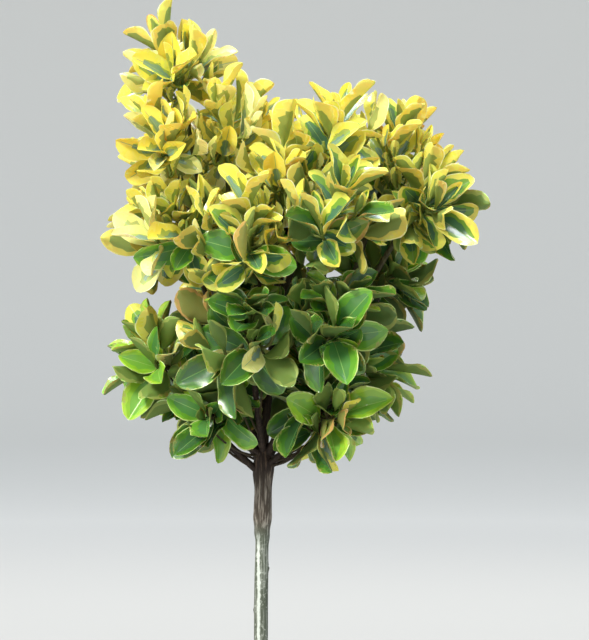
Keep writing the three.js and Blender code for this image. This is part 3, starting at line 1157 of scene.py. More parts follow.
class NodeTree:
    """A tree of nodes, each added with its settings and inputs in one call."""

    def __init__(self, tree: bpy.types.NodeTree) -> None:
        """Takes the tree to add to."""
        self.tree = tree

    def add(
        self, kind: str, inputs: dict[str | int, object] | None = None, **settings: object
    ) -> bpy.types.Node:
        """Adds a node.

        Args:
            kind: the node's type.
            inputs: a value or a socket for an input, by its name or its place among those in use.
            settings: the node's own settings.

        Returns:
            The node.
        """
        node = self.tree.nodes.new(kind)
        for name, value in settings.items():
            setattr(node, name, value)
        self.set(node, inputs or {})
        return node

    def set(self, node: bpy.types.Node, inputs: dict[str | int, object]) -> None:
        """Sets or links inputs of a node.

        Args:
            node: the node.
            inputs: a value or a socket for an input, by its name or its place among those in use.
        """
        used = [socket for socket in node.inputs if socket.enabled]
        for key, value in inputs.items():
            socket = used[key] if isinstance(key, int) else next(s for s in used if s.name == key)
            if isinstance(value, Socket):
                self.tree.links.new(value, socket)
            else:
                socket.default_value = value

    def calculate(self, operation: str, *values: object) -> Socket:
        """The outcome of a sum with numbers or sockets."""
        return self.add("ShaderNodeMath", dict(enumerate(values)), operation=operation).outputs[0]


class GeometryTree(NodeTree):
    """A Geometry Nodes tree with named inputs."""

    def __init__(self, name: str, inputs: dict[str, str]) -> None:
        """Starts the tree.

        Args:
            name: its name.
            inputs: the kind of socket for the name of each input besides the geometry.
        """
        super().__init__(bpy.data.node_groups.new(name, "GeometryNodeTree"))
        shape = {"Geometry": "NodeSocketGeometry"}
        for way, sockets in (("OUTPUT", shape), ("INPUT", shape | inputs)):
            for label, kind in sockets.items():
                self.tree.interface.new_socket(label, in_out=way, socket_type=kind)
        self.given = self.add("NodeGroupInput").outputs

    def named(self, name: str, kind: str) -> Socket:
        """A named attribute of the geometry."""
        node = self.add("GeometryNodeInputNamedAttribute", {"Name": name}, data_type=kind)
        return node.outputs["Attribute"]

    def finish(self, geometry: Socket) -> None:
        """Ends the tree with a geometry."""
        self.add("NodeGroupOutput", {"Geometry": geometry})

    def apply(self, obj: bpy.types.Object, values: dict[str, object]) -> None:
        """Turns an object's mesh into what the tree makes of it.

        The new mesh has only the materials that its faces use.

        Args:
            obj: the object, in the scene.
            values: the inputs, by name.
        """
        modifier = obj.modifiers.new(self.tree.name, "NODES")
        modifier.node_group = self.tree
        for item in self.tree.interface.items_tree:
            if item.in_out == "INPUT" and item.name in values:
                modifier[item.identifier] = values[item.name]
        graph = bpy.context.evaluated_depsgraph_get()
        made = bpy.data.meshes.new_from_object(
            obj.evaluated_get(graph), preserve_all_data_layers=True, depsgraph=graph
        )
        obj.modifiers.clear()
        slots = np.zeros(len(made.polygons), int)
        made.polygons.foreach_get("material_index", slots)
        used, slots = np.unique(slots, return_inverse=True)
        materials = [made.materials[i] for i in used]
        made.materials.clear()
        for material in materials:
            made.materials.append(material)
        made.polygons.foreach_set("material_index", slots)
        points, obj.data = obj.data, made
        bpy.data.meshes.remove(points)
        made.name = obj.name


class LeafTree(GeometryTree):
    """Sets a leaf on each point, turned, sized and tinted as the point says."""

    NEAR = 0.1

    def __init__(self, finishes: list[bpy.types.Material]) -> None:
        """Builds the tree.

        Args:
            finishes: the material of each zone, tint by tint.
        """
        super().__init__("leaves_on_points", {"Shapes": "NodeSocketCollection"})
        shapes = self.add(
            "GeometryNodeCollectionInfo",
            {"Collection": self.given["Shapes"], "Separate Children": True, "Reset Children": True},
        )
        placed = self.add("GeometryNodeInstanceOnPoints", {
            "Points": self.given["Geometry"],
            "Instance": shapes.outputs[0],
            "Pick Instance": True,
            "Instance Index": self.named("shape", "INT"),
            "Rotation": self.named("turn", "QUATERNION"),
            "Scale": self.named("size", "FLOAT_VECTOR"),
        })
        solid = self.add("GeometryNodeRealizeInstances", {"Geometry": placed.outputs[0]}).outputs[0]
        first = self.calculate("MULTIPLY", self.named("tint", "INT"), len(Zone))
        number = self.calculate("ADD", first, self.named("zone", "INT"))
        for i, material in enumerate(finishes):
            chosen = self.add(
                "FunctionNodeCompare", {0: number, 1: i, 2: self.NEAR},
                data_type="FLOAT", operation="EQUAL",
            )
            solid = self.add(
                "GeometryNodeSetMaterial",
                {"Geometry": solid, "Selection": chosen.outputs[0], "Material": material},
            ).outputs[0]
        self.finish(solid)


class LimbTree(GeometryTree):
    """Sweeps a ring along each line, as thick as its points say, and roughens it."""

    SEED = 3.0

    def __init__(self) -> None:
        """Builds the tree."""
        inputs = {
            "Sides": "NodeSocketInt",
            "Relief": "NodeSocketFloat",
            "Grain": "NodeSocketFloat",
            "Bark": "NodeSocketMaterial",
        }
        super().__init__("grown_limbs", inputs)
        given = self.given
        path = self.add("GeometryNodeMeshToCurve", {"Mesh": given["Geometry"]})
        ring = self.add(
            "GeometryNodeCurvePrimitiveCircle", {"Resolution": given["Sides"], "Radius": 1.0}
        )
        tube = self.add("GeometryNodeCurveToMesh", {
            "Curve": path.outputs[0],
            "Profile Curve": ring.outputs[0],
            "Scale": self.named("thickness", "FLOAT"),
            "Fill Caps": True,
        })
        grain = self.add(
            "ShaderNodeTexNoise", {"W": self.SEED, "Scale": given["Grain"]}, noise_dimensions="4D"
        )
        depth = self.calculate("SUBTRACT", grain.outputs[0], 0.5)
        depth = self.calculate("MULTIPLY", depth, given["Relief"])
        normal = self.add("GeometryNodeInputNormal").outputs[0]
        push = self.add("ShaderNodeVectorMath", {0: normal, "Scale": depth}, operation="SCALE")
        shape = tube.outputs[0]
        for kind, values in (
            ("GeometryNodeSetPosition", {"Offset": push.outputs[0]}),
            ("GeometryNodeSetShadeSmooth", {"Shade Smooth": True}),
            ("GeometryNodeRealizeInstances", {}),
            ("GeometryNodeSetMaterial", {"Material": given["Bark"]}),
        ):
            shape = self.add(kind, {"Geometry": shape} | values).outputs[0]
        self.finish(shape)


class FinishTree(NodeTree):
    """The nodes of a material, which read Object coordinates."""

    def __init__(self, name: str, values: dict[str, object]) -> None:
        """Starts the material.

        Args:
            name: its name.
            values: what the sockets of its shader are set to.
        """
        self.material = bpy.data.materials.new(name)
        self.material.use_nodes = True
        super().__init__(self.material.node_tree)
        self.shader = self.tree.nodes["Principled BSDF"]
        self.set(self.shader, values)

    @cached_property
    def place(self) -> Socket:
        """Object coordinates."""
        return self.add("ShaderNodeTexCoord").outputs["Object"]

    @cached_property
    def sides(self) -> bpy.types.NodeOutputs:
        """Object coordinates, parted."""
        return self.add("ShaderNodeSeparateXYZ", {0: self.place}).outputs

    def noise(self, scale: float, **more: object) -> Socket:
        """Noise in Object coordinates, or in those that more gives as Vector."""
        values = {"Vector": self.place, "Scale": scale} | more
        return self.add("ShaderNodeTexNoise", values).outputs[0]

    def spread(
        self, value: Socket, low: float, high: float, to_low: float = 0.0, to_high: float = 1.0,
        **settings: object,
    ) -> Socket:
        """Spreads a range of a value over another range.

        Args:
            value: the value.
            low: what becomes to_low.
            high: what becomes to_high.
            to_low: the start of the new range.
            to_high: its end.
            settings: the node's own settings.

        Returns:
            The new value, which stays in the new range.
        """
        ends = {"From Min": low, "From Max": high, "To Min": to_low, "To Max": to_high}
        return self.add("ShaderNodeMapRange", {"Value": value} | ends, **settings).outputs[0]

    def mix(self, amount: Socket, under: Socket | Colour, over: Socket | Colour) -> Socket:
        """Mixes one colour over another by an amount."""
        values = {"Factor": amount, "A": under, "B": over}
        return self.add("ShaderNodeMix", values, data_type="RGBA").outputs["Result"]

    def ramp(self, height: Socket, stops: Stops) -> Socket:
        """A colour that changes with height.

        Args:
            height: metres, from 0 to 1.
            stops: heights and the colours there.

        Returns:
            The colour.
        """
        node = self.add("ShaderNodeValToRGB", {0: height})
        elements = node.color_ramp.elements
        while len(elements) < len(stops):
            elements.new(0.5)
        for element, (position, code) in zip(elements, stops, strict=True):
            element.position = position
            element.color = linear(code)
        return node.outputs["Color"]


@dataclass(frozen=True)
class Lichen:
    """Pale specks on the lower bark."""

    colour: str
    scale: float = 330.0
    detail: float = 3.0
    specks: tuple[float, float] = (0.56, 0.64)
    heights: tuple[float, float] = (0.445, 0.41)
    share: float = 0.6

    def amount(self, tree: FinishTree) -> Socket:
        """How much of it covers the bark.

        Args:
            tree: the bark's nodes.

        Returns:
            The amount.
        """
        specks = tree.spread(tree.noise(self.scale, Detail=self.detail), *self.specks)
        low = tree.spread(tree.sides["Z"], *self.heights, to_high=self.share)
        return tree.calculate("MULTIPLY", specks, low)


@dataclass(frozen=True)
class Stripe:
    """A pale frayed stripe that runs down the front of the green bark."""

    colour: str
    wander_scale: float = 14.0
    wander: float = 0.005
    shift: float = 0.0012
    fray_scale: float = 210.0
    fray_detail: float = 3.0
    fray: float = 0.0034
    edges: tuple[float, float] = (0.0036, 0.0027)
    front: tuple[float, float] = (-0.001, -0.003)
    heights: tuple[float, float] = (0.432, 0.415)
    share: float = 0.85

    def amount(self, tree: FinishTree) -> Socket:
        """How much of it covers the bark.

        Args:
            tree: the bark's nodes.

        Returns:
            The amount.
        """
        wander = tree.noise(self.wander_scale)
        swing = tree.calculate("MULTIPLY_ADD", wander, self.wander, self.shift)
        off = tree.calculate("ABSOLUTE", tree.calculate("ADD", tree.sides["X"], swing))
        ragged = tree.noise(self.fray_scale, Detail=self.fray_detail)
        off = tree.calculate("MULTIPLY_ADD", ragged, self.fray, off)
        amount = tree.spread(off, *self.edges, interpolation_type="SMOOTHSTEP")
        front = tree.spread(tree.sides["Y"], *self.front)
        low = tree.spread(tree.sides["Z"], *self.heights, to_high=self.share)
        return tree.calculate("MULTIPLY", tree.calculate("MULTIPLY", amount, front), low)


@dataclass(frozen=True)
class BarkFinish:
    """A bark that changes with height: the height of each colour in metres, and its streaks.

    Around and along are how fine the streaks are, and relief is their depth in metres.
    Blotches of painted shade, a dark colour at a scale and share, darken the bark.
    """

    name: str
    base: Stops
    streaks: Stops
    around: float
    along: float
    relief: float
    streak_share: float = 0.5
    marks: tuple[Lichen | Stripe, ...] = ()
    roughness: float = 0.72
    specular: float = 0.35
    fibre_detail: float = 4.0
    fibre_roughness: float = 0.6
    fibre_range: tuple[float, float] = (0.48, 0.62)
    # painted shade: a dark colour mixed over the bark in blotches
    painted_shade: str = "241c14"
    painted_shade_scale: float = 60.0
    painted_shade_share: float = 0.35
    bump: float = 0.7

    def build(self) -> bpy.types.Material:
        """Makes the material.

        Returns:
            The material.
        """
        tree = FinishTree(
            self.name, {"Roughness": self.roughness, "Specular IOR Level": self.specular}
        )
        stretch = tree.add(
            "ShaderNodeMapping",
            {"Vector": tree.place, "Scale": (self.around, self.around, self.along)},
        )
        fibre = tree.noise(
            1.0, Vector=stretch.outputs[0], Detail=self.fibre_detail, Roughness=self.fibre_roughness
        )
        base, streak = (tree.ramp(tree.sides["Z"], stops) for stops in (self.base, self.streaks))
        amount = tree.spread(fibre, *self.fibre_range, to_high=self.streak_share)
        colour = tree.mix(amount, base, streak)
        # painted shade: dark blotches mixed into the bark's colour
        painted_shade = tree.spread(tree.noise(self.painted_shade_scale), 0.0, 1.0, self.painted_shade_share, 0.0)
        colour = tree.mix(painted_shade, colour, linear(self.painted_shade))
        for mark in self.marks:
            colour = tree.mix(mark.amount(tree), colour, linear(mark.colour))
        bump = tree.add(
            "ShaderNodeBump", {"Strength": self.bump, "Distance": self.relief, "Height": fibre}
        )
        tree.set(tree.shader, {"Base Color": colour, "Normal": bump.outputs[0]})
        return tree.material


STEM_FINISH = BarkFinish(
    "stem_bark",
    (
        (0.0, "4f4c40"), (0.05, "575d4f"), (0.425, "5f6757"),
        (0.442, "544b40"), (0.474, "4a4036"), (0.496, "2a1e18"),
    ),
    (
        (0.0, "8c8a7c"), (0.05, "979c8e"), (0.425, "a6aba0"),
        (0.442, "b3aa9c"), (0.474, "b5aa9c"), (0.496, "6a5545"),
    ),
    around=520.0,
    along=38.0,
    relief=0.0006,
    streak_share=0.85,
    marks=(Lichen("b4b9ad"), Stripe("dde4da")),
)
BOUGH_FINISH = BarkFinish(
    "bough_bark",
    ((0.5, "2b1f18"), (0.6, "352920"), (0.72, "4a4429"), (0.84, "586230")),
    ((0.5, "5a483b"), (0.6, "655644"), (0.72, "7c7850"), (0.84, "8a9654")),
    around=520.0,
    along=70.0,
    relief=0.0004,
)
TWIG_FINISH = BarkFinish(
    "twig_bark",
    ((0.5, "352a1c"), (0.56, "4c4526"), (0.64, "626a2e"), (0.75, "788a3a"), (0.9, "93a548")),
    ((0.5, "5c4c34"), (0.56, "786c40"), (0.64, "8f9450"), (0.75, "a0ac58"), (0.9, "b6c06a")),
    around=600.0,
    along=120.0,
    relief=0.0002,
)


@dataclass(frozen=True)
class LeafFinish:
    """The gloss of one face of the leaves, in plain values."""

    roughness: float
    specular: float
    coat: float
    coat_roughness: float = 0.22
    glow: float = 0.25
    glow_depth: float = 0.0015

    def build(self, name: str, colour: Colour) -> bpy.types.Material:
        """Makes a material.

        Args:
            name: its name.
            colour: its colour.

        Returns:
            The material.
        """
        return FinishTree(name, {
            "Base Color": colour,
            "Roughness": self.roughness,
            "Specular IOR Level": self.specular,
            "Coat Weight": self.coat,
            "Coat Roughness": self.coat_roughness,
            "Subsurface Weight": self.glow,
            "Subsurface Scale": self.glow_depth,
        }).material


UPPER_FACE = LeafFinish(roughness=0.27, specular=0.5, coat=0.5)
LOWER_FACE = LeafFinish(roughness=0.58, specular=0.35, coat=0.0)


def leaf_finishes() -> list[bpy.types.Material]:
    """Makes the leaves' materials.

    Returns:
        The material of each zone, tint by tint.
    """
    made = []
    for tint in TINTS:
        for zone in Zone:
            face = LOWER_FACE if zone in (Zone.UNDER, Zone.UNDER_MARGIN) else UPPER_FACE
            made.append(face.build(f"leaf_{tint.name}_{zone.name.lower()}", tint.colour(zone)))
    return made


def add_object(
    name: str, points: Sequence, edges: Sequence = (), faces: Sequence = ()
) -> bpy.types.Object:
    """Puts a new mesh in the scene.

    Args:
        name: its name and its object's.
        points: where its vertices are, in metres.
        edges: the vertices of each edge that is on no face.
        faces: the vertices of each face.

    Returns:
        The object.
    """
    mesh = bpy.data.meshes.new(name)
    mesh.from_pydata(points, edges, faces)
    obj = bpy.data.objects.new(name, mesh)
    bpy.context.scene.collection.objects.link(obj)
    return obj


def add_values(obj: bpy.types.Object, name: str, kind: str, values: Sequence) -> None:
    """Gives each point of an object's mesh a value."""
    field_name = "vector" if kind == "FLOAT_VECTOR" else "value"
    obj.data.attributes.new(name, kind, "POINT").data.foreach_set(field_name, values)


@dataclass
class Strands:
    """Lines with a thickness at each point, to be swept into limbs."""

    points: list[Point] = field(default_factory=list)
    thickness: list[float] = field(default_factory=list)
    edges: list[tuple[int, int]] = field(default_factory=list)

    def add(self, points: Point, radii: Point) -> None:
        """Adds a line.

        Args:
            points: its points, in millimetres.
            radii: the radius at each.
        """
        first = len(self.points)
        self.points += list(points * MM)
        self.thickness += [float(r) * MM for r in radii]
        self.edges += [(i, i + 1) for i in range(first, len(self.points) - 1)]

    def build(self, name: str) -> bpy.types.Object:
        """Makes the mesh of lines.

        Args:
            name: the object's name.

        Returns:
            The object.
        """
        lines = add_object(name, [tuple(p) for p in self.points], self.edges)
        add_values(lines, "thickness", "FLOAT", self.thickness)
        return lines


@dataclass(frozen=True)
class LimbForm:
    """How a kind of limb shows: its sides, its steps and the rings that swell round it.

    Lengths are in millimetres, but the bark's relief is in metres, and grain is how fine it is.
    """

    sides: int
    relief: float
    grain: float
    step: float
    fewest: int
    ring_spacing: float
    ring_width: float
    ring_from: float = 12
    ring: float = 0.12

    def shares(self, line: Line) -> Point:
        """Where a line has points, as shares of its length."""
        return np.linspace(0, 1, max(self.fewest, round(line.length / self.step)) + 1)

    def swell(self, along: Point) -> Point:
        """How many times thicker the rings make a limb, at distances along it."""
        off = (along - self.ring_from) % self.ring_spacing - self.ring_spacing / 2
        return 1 + self.ring * bump((off, self.ring_width))

    def inputs(self, bark: bpy.types.Material) -> dict[str, object]:
        """What the tree of limbs is given."""
        return {"Sides": self.sides, "Relief": self.relief, "Grain": self.grain, "Bark": bark}


BOUGH_FORM = LimbForm(
    sides=14, relief=0.0011, grain=300.0, step=2.5, fewest=8, ring_spacing=26, ring_width=1.8
)
TWIG_FORM = LimbForm(
    sides=8, relief=0.0004, grain=420.0, step=4, fewest=5, ring_spacing=10, ring_width=1.6
)


@dataclass
class Framework:
    """The boughs, as they show: with collars, rings and bark."""

    boughs: Boughs
    tree: LimbTree
    form: LimbForm = BOUGH_FORM
    collar: float = 0.55
    collar_length: float = 5

    def group_of(self, name: str) -> str:
        """The leader or the stem that a bough belongs to."""
        parents = {f"to_{mass.name}": mass.parent for mass in MASSES}
        return parents.get(name, name)

    def build(self) -> list[bpy.types.Object]:
        """Makes one piece for each leader with its boughs, and one for the boughs on the stem.

        Returns:
            The pieces.
        """
        inputs = self.form.inputs(BOUGH_FINISH.build())
        made = []
        for group in [*LEADERS, "stem"]:
            names = [name for name in self.boughs.limbs if self.group_of(name) == group]
            strands = Strands()
            for name in names:
                strands.add(*self.shape(self.boughs.limbs[name]))
            piece = strands.build(f"boughs_{group}")
            self.tree.apply(piece, inputs)
            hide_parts(*(f"bough_{name}" for name in names))
            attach(piece, "root")
            made.append(piece)
        return made

    def shape(self, limb: Limb) -> tuple[Point, Point]:
        """A bough, which starts inside its parent and swells at its foot and its rings.

        Args:
            limb: the bough as it grew.

        Returns:
            Its points and the radius at each.
        """
        shares = self.form.shares(limb.line)
        along = shares * limb.line.length
        radii = limb.radius(shares) * (1 + self.collar * np.exp(-along / self.collar_length))
        return limb.line.points(shares), radii * self.form.swell(along)


@dataclass(frozen=True)
class Grain:
    """Smooth noise that closes round the stem: cells round it, a cell's height and a seed."""

    around: int
    length: float
    seed: int

    SHIFT_SEED = 50

    def at(self, angle: Point, height: Point) -> Point:
        """The noise.

        Args:
            angle: radians round the stem.
            height: millimetres.

        Returns:
            Numbers from -1 to 1.
        """
        rows = math.ceil(float(height.max()) / self.length) + 2
        cells = np.random.default_rng(self.seed).uniform(-1, 1, (rows, self.around))
        shift = np.random.default_rng(self.seed + self.SHIFT_SEED).uniform(0, 1, self.around)
        x = (angle / (2 * math.pi) * self.around) % self.around
        first = np.floor(x).astype(int) % self.around
        onward = smoothstep(x - np.floor(x), 0, 1)
        total = 0
        for column, weight in ((first, 1 - onward), ((first + 1) % self.around, onward)):
            y = height / self.length + shift[column]
            row = np.floor(y).astype(int)
            blend = smoothstep(y - row, 0, 1)
            above = cells[np.minimum(row + 1, rows - 1), column]
            total = total + weight * (cells[row, column] * (1 - blend) + above * blend)
        return total


FISSURES, RIDGES = Grain(24, 22, 1), Grain(9, 16, 2)
SKIN, SWELLS = Grain(16, 60, 3), Grain(4, 26, 4)


@dataclass(frozen=True)
class Scar:
    """Where a shoot was pruned off the stem: millimetres up it, radians round it and a size."""

    height: float
    angle: float
    size: float


SCARS = (
    Scar(398, -1.75, 1.0), Scar(394, -0.25, 1.3), Scar(352, 3.1, 0.8), Scar(318, -1.4, 0.7),
    Scar(281, 1.3, 0.8), Scar(243, -0.6, 0.8), Scar(201, 2.4, 0.7), Scar(166, -2.2, 0.9),
    Scar(122, 0.4, 0.8), Scar(86, -1.5, 0.9), Scar(52, 2.0, 0.8),
)


@dataclass
class StemBark:
    """The stem, as it shows: a flared foot, green stock, graft, fissured wood and a knuckle.

    The graft's lip, the scars and the swellings under the boughs each have a height or a depth
    in millimetres, a width up and down the stem, and for the last two an angle round it.
    """

    form: StemForm
    boughs: Boughs
    around: int = 96
    step: float = 1.6
    old_wood: tuple[float, float] = (-6, 12)
    fissure: float = 1.3
    ridge: float = 0.6
    skin: float = 0.16
    swell: float = 0.22
    lip: float = 1.0
    lip_drop: float = 9
    lip_slant: float = 4
    lip_turn: float = 2
    lip_width: float = 5
    lobes: tuple[tuple[float, int, float], ...] = ((1.7, 3, 0.5), (1.1, 5, 2))
    lobe_height: float = 9
    scars: tuple[Scar, ...] = SCARS
    scar_swell: float = 1.1
    scar_width: tuple[float, float] = (3.4, 0.5)
    crease: float = 0.75
    crease_rise: float = 1.5
    crease_width: tuple[float, float] = (1.0, 0.42)
    socket: float = 0.9
    socket_width: tuple[float, float] = (9, 0.6)
    socket_reach: float = 12
    foot_of_bough: float = 0.08
    dome: tuple[tuple[float, float], ...] = ((0.82, 0.7), (0.6, 1.2), (0.36, 1.5), (0.14, 1.6))
    dome_top: float = 0.2

    def build(self) -> list[bpy.types.Object]:
        """Makes the piece, closed at the ground and at the knuckle.

        Returns:
            The one piece, in a list as the other builders return.
        """
        rim = self.rings()
        top = rim[-1]
        centre = top.mean(axis=0)
        closing = [centre + (top - centre) * share + rise * UP for share, rise in self.dome]
        rings = np.concatenate([rim, closing])
        crest = closing[-1].mean(axis=0) + (0, 0, self.dome_top)
        ends = [self.form.middle(0)[0], crest]
        points = np.concatenate([rings.reshape(-1, 3), ends]) * MM
        faces = stitch(len(rings), self.around)
        smooth = [True] * len(faces)
        foot_point, last = len(rings) * self.around, (len(rings) - 1) * self.around
        for j in range(self.around):
            k = (j + 1) % self.around
            faces += [(k, j, foot_point), (last + j, last + k, foot_point + 1)]
            smooth += [False, True]
        piece = add_object("trunk_bark", points.tolist(), faces=faces)
        piece.data.polygons.foreach_set("use_smooth", smooth)
        piece.data.materials.append(STEM_FINISH.build())
        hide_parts("stem")
        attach(piece, "root")
        return [piece]

    def rings(self) -> Point:
        """The stem's surface.

        Returns:
            A ring of points for each height.
        """
        top, graft = self.form.top, self.form.graft
        heights = np.linspace(0, top, round(top / self.step) + 1)
        angles = np.linspace(0, 2 * math.pi, self.around, endpoint=False)
        h, a = np.meshgrid(heights, angles, indexing="ij")
        old = smoothstep(h, graft + self.old_wood[0], graft + self.old_wood[1])
        radius = self.form.radius(h) - self.fissure * old * np.clip(FISSURES.at(a, h), 0, 1)
        radius = radius + self.ridge * old * RIDGES.at(a, h)
        radius = radius + self.skin * (1 - old) * SKIN.at(a, h) + self.swell * SWELLS.at(a, h)
        lip = graft - self.lip_drop + self.lip_slant * np.cos(a - self.lip_turn)
        radius = radius + self.lip * bump((h - lip, self.lip_width))
        lobes = sum(size * np.cos(count * a + turn) for size, count, turn in self.lobes)
        radius = radius + lobes * np.exp(-h / self.lobe_height)
        for scar in self.scars:
            rise, turn = h - scar.height, a - scar.angle
            near = self.mark(rise, turn, self.scar_width)
            crease = self.mark(rise - self.crease_rise, turn, self.crease_width)
            radius = radius + scar.size * (self.scar_swell * near - self.crease * crease)
        for limb in self.boughs.limbs.values():
            start, way = limb.line.start, limb.line.axis(self.foot_of_bough)
            if start[2] > top + 1 or math.hypot(start[0], start[1]) > self.socket_reach:
                continue
            near = self.mark(h - start[2], a - math.atan2(way[1], way[0]), self.socket_width)
            radius = radius + self.socket * near * (h < top)
        ring = np.stack([np.cos(a), np.sin(a), np.zeros_like(a)], axis=-1)
        points = self.form.middle(heights)[:, None] + ring * radius[..., None]
        points[0, :, 2] = 0
        return points

    @staticmethod
    def mark(rise: Point, turn: Point, width: tuple[float, float]) -> Point:
        """A smooth bump on the stem, by the rise and the turn from its middle."""
        return bump((rise, width[0]), (np.angle(np.exp(1j * turn)), width[1]))


@dataclass
class Foliage:
    """The masses of leaves, as they show, each with its twigs.

    Heights are in millimetres. The zones of gold and green tilt down towards the right. A shoot's
    mood makes its leaves golden or green for their height, and picks their tint. Green leaves on
    the
    left get the lighter lime tints: painted light, as if lit through from that side.
    """

    crown: Crown
    limbs: LimbTree
    form: LimbForm = TWIG_FORM
    sunk: float = 3
    gold_from: float = 662
    gold_full: float = 805
    gold_share: float = 0.97
    gold_stray: float = 0.015
    gold_loss: float = 1.7
    green_full: float = 630
    green_to: float = 735
    green_share: float = 0.95
    green_gain: float = 0.3
    green_length: float = 1.05
    # painted light: left of this, green leaves are dealt the lighter lime tints
    painted_light_side: float = -72
    painted_light_choices: tuple[float, float] = (0.55, 0.4)
    tilt: float = 0.52
    tilt_from: float = 10
    tilt_width: float = 100
    mood_range: float = 0.12
    mood_ends: tuple[float, float] = (0.01, 0.99)
    like_the_shoot: float = 0.7

    SEED = 500

    def build(self) -> list[bpy.types.Object]:
        """Makes a piece of leaves and a piece of twigs for each mass.

        Returns:
            The pieces.
        """
        shapes = self.build_shapes()
        tree = LeafTree(leaf_finishes())
        inputs = self.form.inputs(TWIG_FINISH.build())
        made = []
        for spray in self.crown.sprays:
            node = f"leaves_{spray.mass.name}"
            leaves = self.points(spray)
            tree.apply(leaves, {"Shapes": shapes})
            twigs = self.twigs(spray)
            self.limbs.apply(twigs, inputs)
            for piece in (leaves, twigs):
                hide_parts(node)
                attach(piece, "root")
                made.append(piece)
        for obj in list(shapes.objects):
            bpy.data.objects.remove(obj)
        bpy.data.collections.remove(shapes)
        return made

    @staticmethod
    def build_shapes() -> bpy.types.Collection:
        """Makes every shape of leaf.

        Returns:
            The shapes, in the order of their numbers. They aren't in the scene.
        """
        shapes = bpy.data.collections.new("leaf_shapes")
        blank = bpy.data.materials.new("leaf_blank")
        for shape in LeafShape.every():
            obj = shape.build()
            obj.data.materials.append(blank)
            shapes.objects.link(obj)
        return shapes

    def points(self, spray: Spray) -> bpy.types.Object:
        """A mesh with one point for each leaf, which says its shape, tint, turn and size.

        Args:
            spray: the mass as it grew.

        Returns:
            Its object.
        """
        rng = np.random.default_rng(self.SEED + spray.number)
        moods: dict[int, tuple[float, ...]] = {}
        places, shapes, tints, turns, sizes = [], [], [], [], []
        for leaf in spray.leaves:
            mood = moods.setdefault(leaf.shoot, tuple(rng.uniform(0, 1, 3)))
            own = mood[0] + rng.uniform(-self.mood_range, self.mood_range)
            low, high = self.mood_ends
            pattern = self.pattern(leaf, min(max(own, low), high))
            choice = mood[1] if rng.uniform() < self.like_the_shoot else rng.uniform()
            # painted light: green leaves on the left get lighter lime tints, as if lit through
            if pattern is Pattern.GREEN and leaf.root[0] < self.painted_light_side:
                choice = self.painted_light_choices[0] + self.painted_light_choices[1] * choice
            kinds = pattern.value.tints
            shares = np.cumsum([kind.share for kind in kinds[:-1]])
            tint = kinds[int(np.searchsorted(shares, choice))]
            places.append(tuple(leaf.root * MM))
            variant = int(rng.integers(LeafShape.VARIANTS))
            shapes.append(LeafShape.number(pattern, leaf.age, variant))
            tints.append(TINTS.index(tint))
            frame = Matrix((leaf.along, leaf.across, np.cross(leaf.along, leaf.across)))
            turns += list(frame.transposed().to_quaternion())
            longer = 1.0 if pattern is Pattern.GOLD else self.green_length
            sizes += [leaf.length * MM * longer] * 3
        points = add_object(f"foliage_{spray.mass.name}", places)
        add_values(points, "shape", "INT", shapes)
        add_values(points, "tint", "INT", tints)
        add_values(points, "turn", "QUATERNION", turns)
        add_values(points, "size", "FLOAT_VECTOR", sizes)
        return points

    def pattern(self, leaf: Leaf, mood: float) -> Pattern:
        """How green a leaf is: gold high up, green low down, and greener with age.

        Args:
            leaf: the leaf.
            mood: from 0, golden for its height, to 1, green for it.

        Returns:
            Its pattern.
        """
        out = np.clip(leaf.root[0] - self.tilt_from, 0, self.tilt_width)
        height = float(leaf.root[2] - self.tilt * out)
        gold = float(smoothstep(height, self.gold_from, self.gold_full))
        green = 1 - float(smoothstep(height, self.green_full, self.green_to))
        if leaf.age is Age.OLD:
            gold, green = gold**self.gold_loss, green + self.green_gain * (1 - gold)
        if mood < self.gold_share * gold + self.gold_stray:
            return Pattern.GOLD
        return Pattern.GREEN if mood > 1 - self.green_share * green else Pattern.HALF

    def twigs(self, spray: Spray) -> bpy.types.Object:
        """The lines of a mass's twigs.

        Args:
            spray: the mass as it grew.

        Returns:
            Their object.
        """
        strands = Strands()
        for k, shoot in enumerate(spray.shoots):
            line = shoot.line
            shares = self.form.shares(line)
            points = line.points(shares)
            if k == 0:
                points = np.concatenate([[points[0] - self.sunk * line.axis(0)], points])
                shares = np.concatenate([[0], shares])
            swell = self.form.swell((1 - shares) * line.length)
            strands.add(points, shoot.radius(shares) * swell)
        return strands.build(f"twigs_{spray.mass.name}")


@dataclass(frozen=True)
class Lamp:
    """A soft light: where it hangs, what it points at, its side in metres, watts and colour."""

    name: str
    place: Place
    target: Place
    size: float
    power: float
    colour: str


LAMPS = (
    Lamp("overhead", (0.0, 0.1, 3.4), (0, 0, 0.7), 1.8, 128, "f6f9ff"),
    Lamp("key", (-1.7, -2.2, 2.6), (0, 0, 0.7), 0.9, 138, "fffcf6"),
    Lamp("fill", (2.4, -1.8, 1.4), (0, 0, 0.65), 1.8, 8, "f4f8ff"),
    Lamp("back", (0.4, 2.6, 2.4), (0, 0, 0.8), 2.0, 20, "fffdf4"),
)


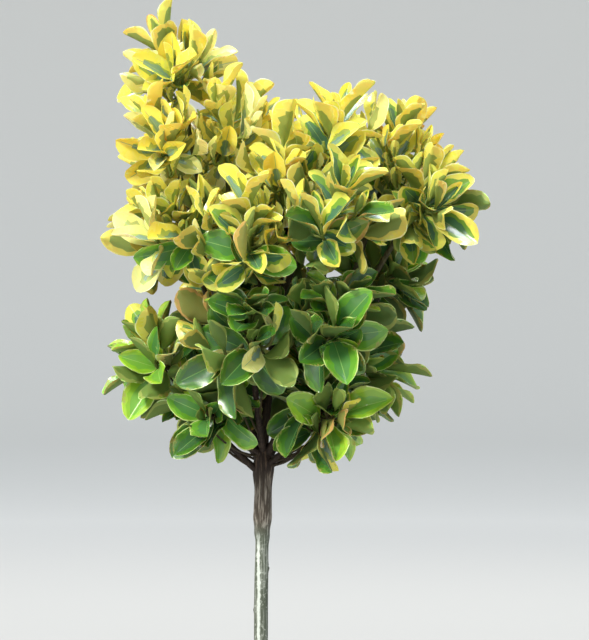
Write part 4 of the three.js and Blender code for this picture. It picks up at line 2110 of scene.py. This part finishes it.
@dataclass
class Studio:
    """The floor and sweep, the lights and the camera. Sizes are in metres."""

    target: Place = (0.0325, 0.0, 0.644)
    eye: Place = (0.0325, -2.4, 0.679)
    lens: float = 134
    sky: str = "e4eef6"
    sky_strength: float = 0.68
    around: int = 72
    flat: tuple[float, ...] = (2.0, 5.0, 8.0)
    sweep: float = 3.0
    sweep_steps: int = 9
    wall: float = 3.6
    near_floor: str = "a2a19e"
    far_floor: str = "f6f3ee"
    floor_change: tuple[float, float] = (1.2, 4.5)
    floor_roughness: float = 0.9

    def build(self) -> None:
        """Sets up the studio."""
        self.build_floor()
        world = bpy.data.worlds.new("studio_sky")
        world.use_nodes = True
        sky = world.node_tree.nodes["Background"]
        sky.inputs["Color"].default_value = linear(self.sky)
        sky.inputs["Strength"].default_value = self.sky_strength
        bpy.context.scene.world = world
        for lamp in LAMPS:
            light = bpy.data.lights.new(lamp.name, "AREA")
            light.size = lamp.size
            light.energy = lamp.power
            light.color = linear(lamp.colour)[:3]
            self.put(light, lamp.place, lamp.target)
        camera = bpy.data.cameras.new("photo_view")
        camera.lens = self.lens
        bpy.context.scene.camera = self.put(camera, self.eye, self.target)

    @staticmethod
    def put(data: bpy.types.ID, place: Place, target: Place) -> bpy.types.Object:
        """Puts a light or the camera in the scene.

        Args:
            data: the light or the camera.
            place: where it stands.
            target: what it points at.

        Returns:
            Its object.
        """
        obj = bpy.data.objects.new(data.name, data)
        obj.location = place
        way = Vector(target) - Vector(place)
        obj.rotation_euler = way.to_track_quat("-Z", "Y").to_euler()
        bpy.context.scene.collection.objects.link(obj)
        return obj

    def build_floor(self) -> None:
        """Makes a pale round floor whose edge curves up, far from the plant."""
        edge, sweep, around = self.flat[-1], self.sweep, self.around
        angles = np.linspace(0, math.pi / 2, self.sweep_steps + 1)[1:]
        profile = [(radius, 0.0) for radius in self.flat]
        profile += [(edge + sweep * math.sin(a), sweep - sweep * math.cos(a)) for a in angles]
        profile += [(edge + sweep, self.wall)]
        points = [(0.0, 0.0, 0.0)]
        for radius, height in profile:
            for j in range(around):
                angle = 2 * math.pi * j / around
                points.append((radius * math.cos(angle), radius * math.sin(angle), height))
        faces = [(0, 1 + j, 1 + (j + 1) % around) for j in range(around)]
        faces += [(b, a, d, c) for a, b, c, d in stitch(len(profile), around, 1)]
        floor = add_object("floor", points, faces=faces)
        floor.data.polygons.foreach_set("use_smooth", [True] * len(faces))
        tree = FinishTree("pale_floor", {"Roughness": self.floor_roughness})
        distance = tree.add("ShaderNodeVectorMath", {0: tree.place}, operation="LENGTH")
        far = tree.spread(distance.outputs["Value"], *self.floor_change)
        pale = tree.mix(far, linear(self.near_floor), linear(self.far_floor))
        tree.set(tree.shader, {"Base Color": pale})
        floor.data.materials.append(tree.material)


def main() -> None:
    """Builds the shrub and its studio, and reports each piece."""
    logging.basicConfig(level=logging.INFO, format="%(message)s")
    form = StemForm()
    boughs = Boughs(form)
    boughs.grow()
    crown = Crown(boughs)
    crown.grow()
    limbs = LimbTree()
    for builder in (StemBark(form, boughs), Framework(boughs, limbs), Foliage(crown, limbs)):
        for piece in builder.build():
            LOG.info("%s: %d faces", piece.name, len(piece.data.polygons))
    Studio().build()
    bpy.context.scene.view_settings.view_transform = "Standard"
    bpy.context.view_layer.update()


if __name__ == "__main__":
    main()
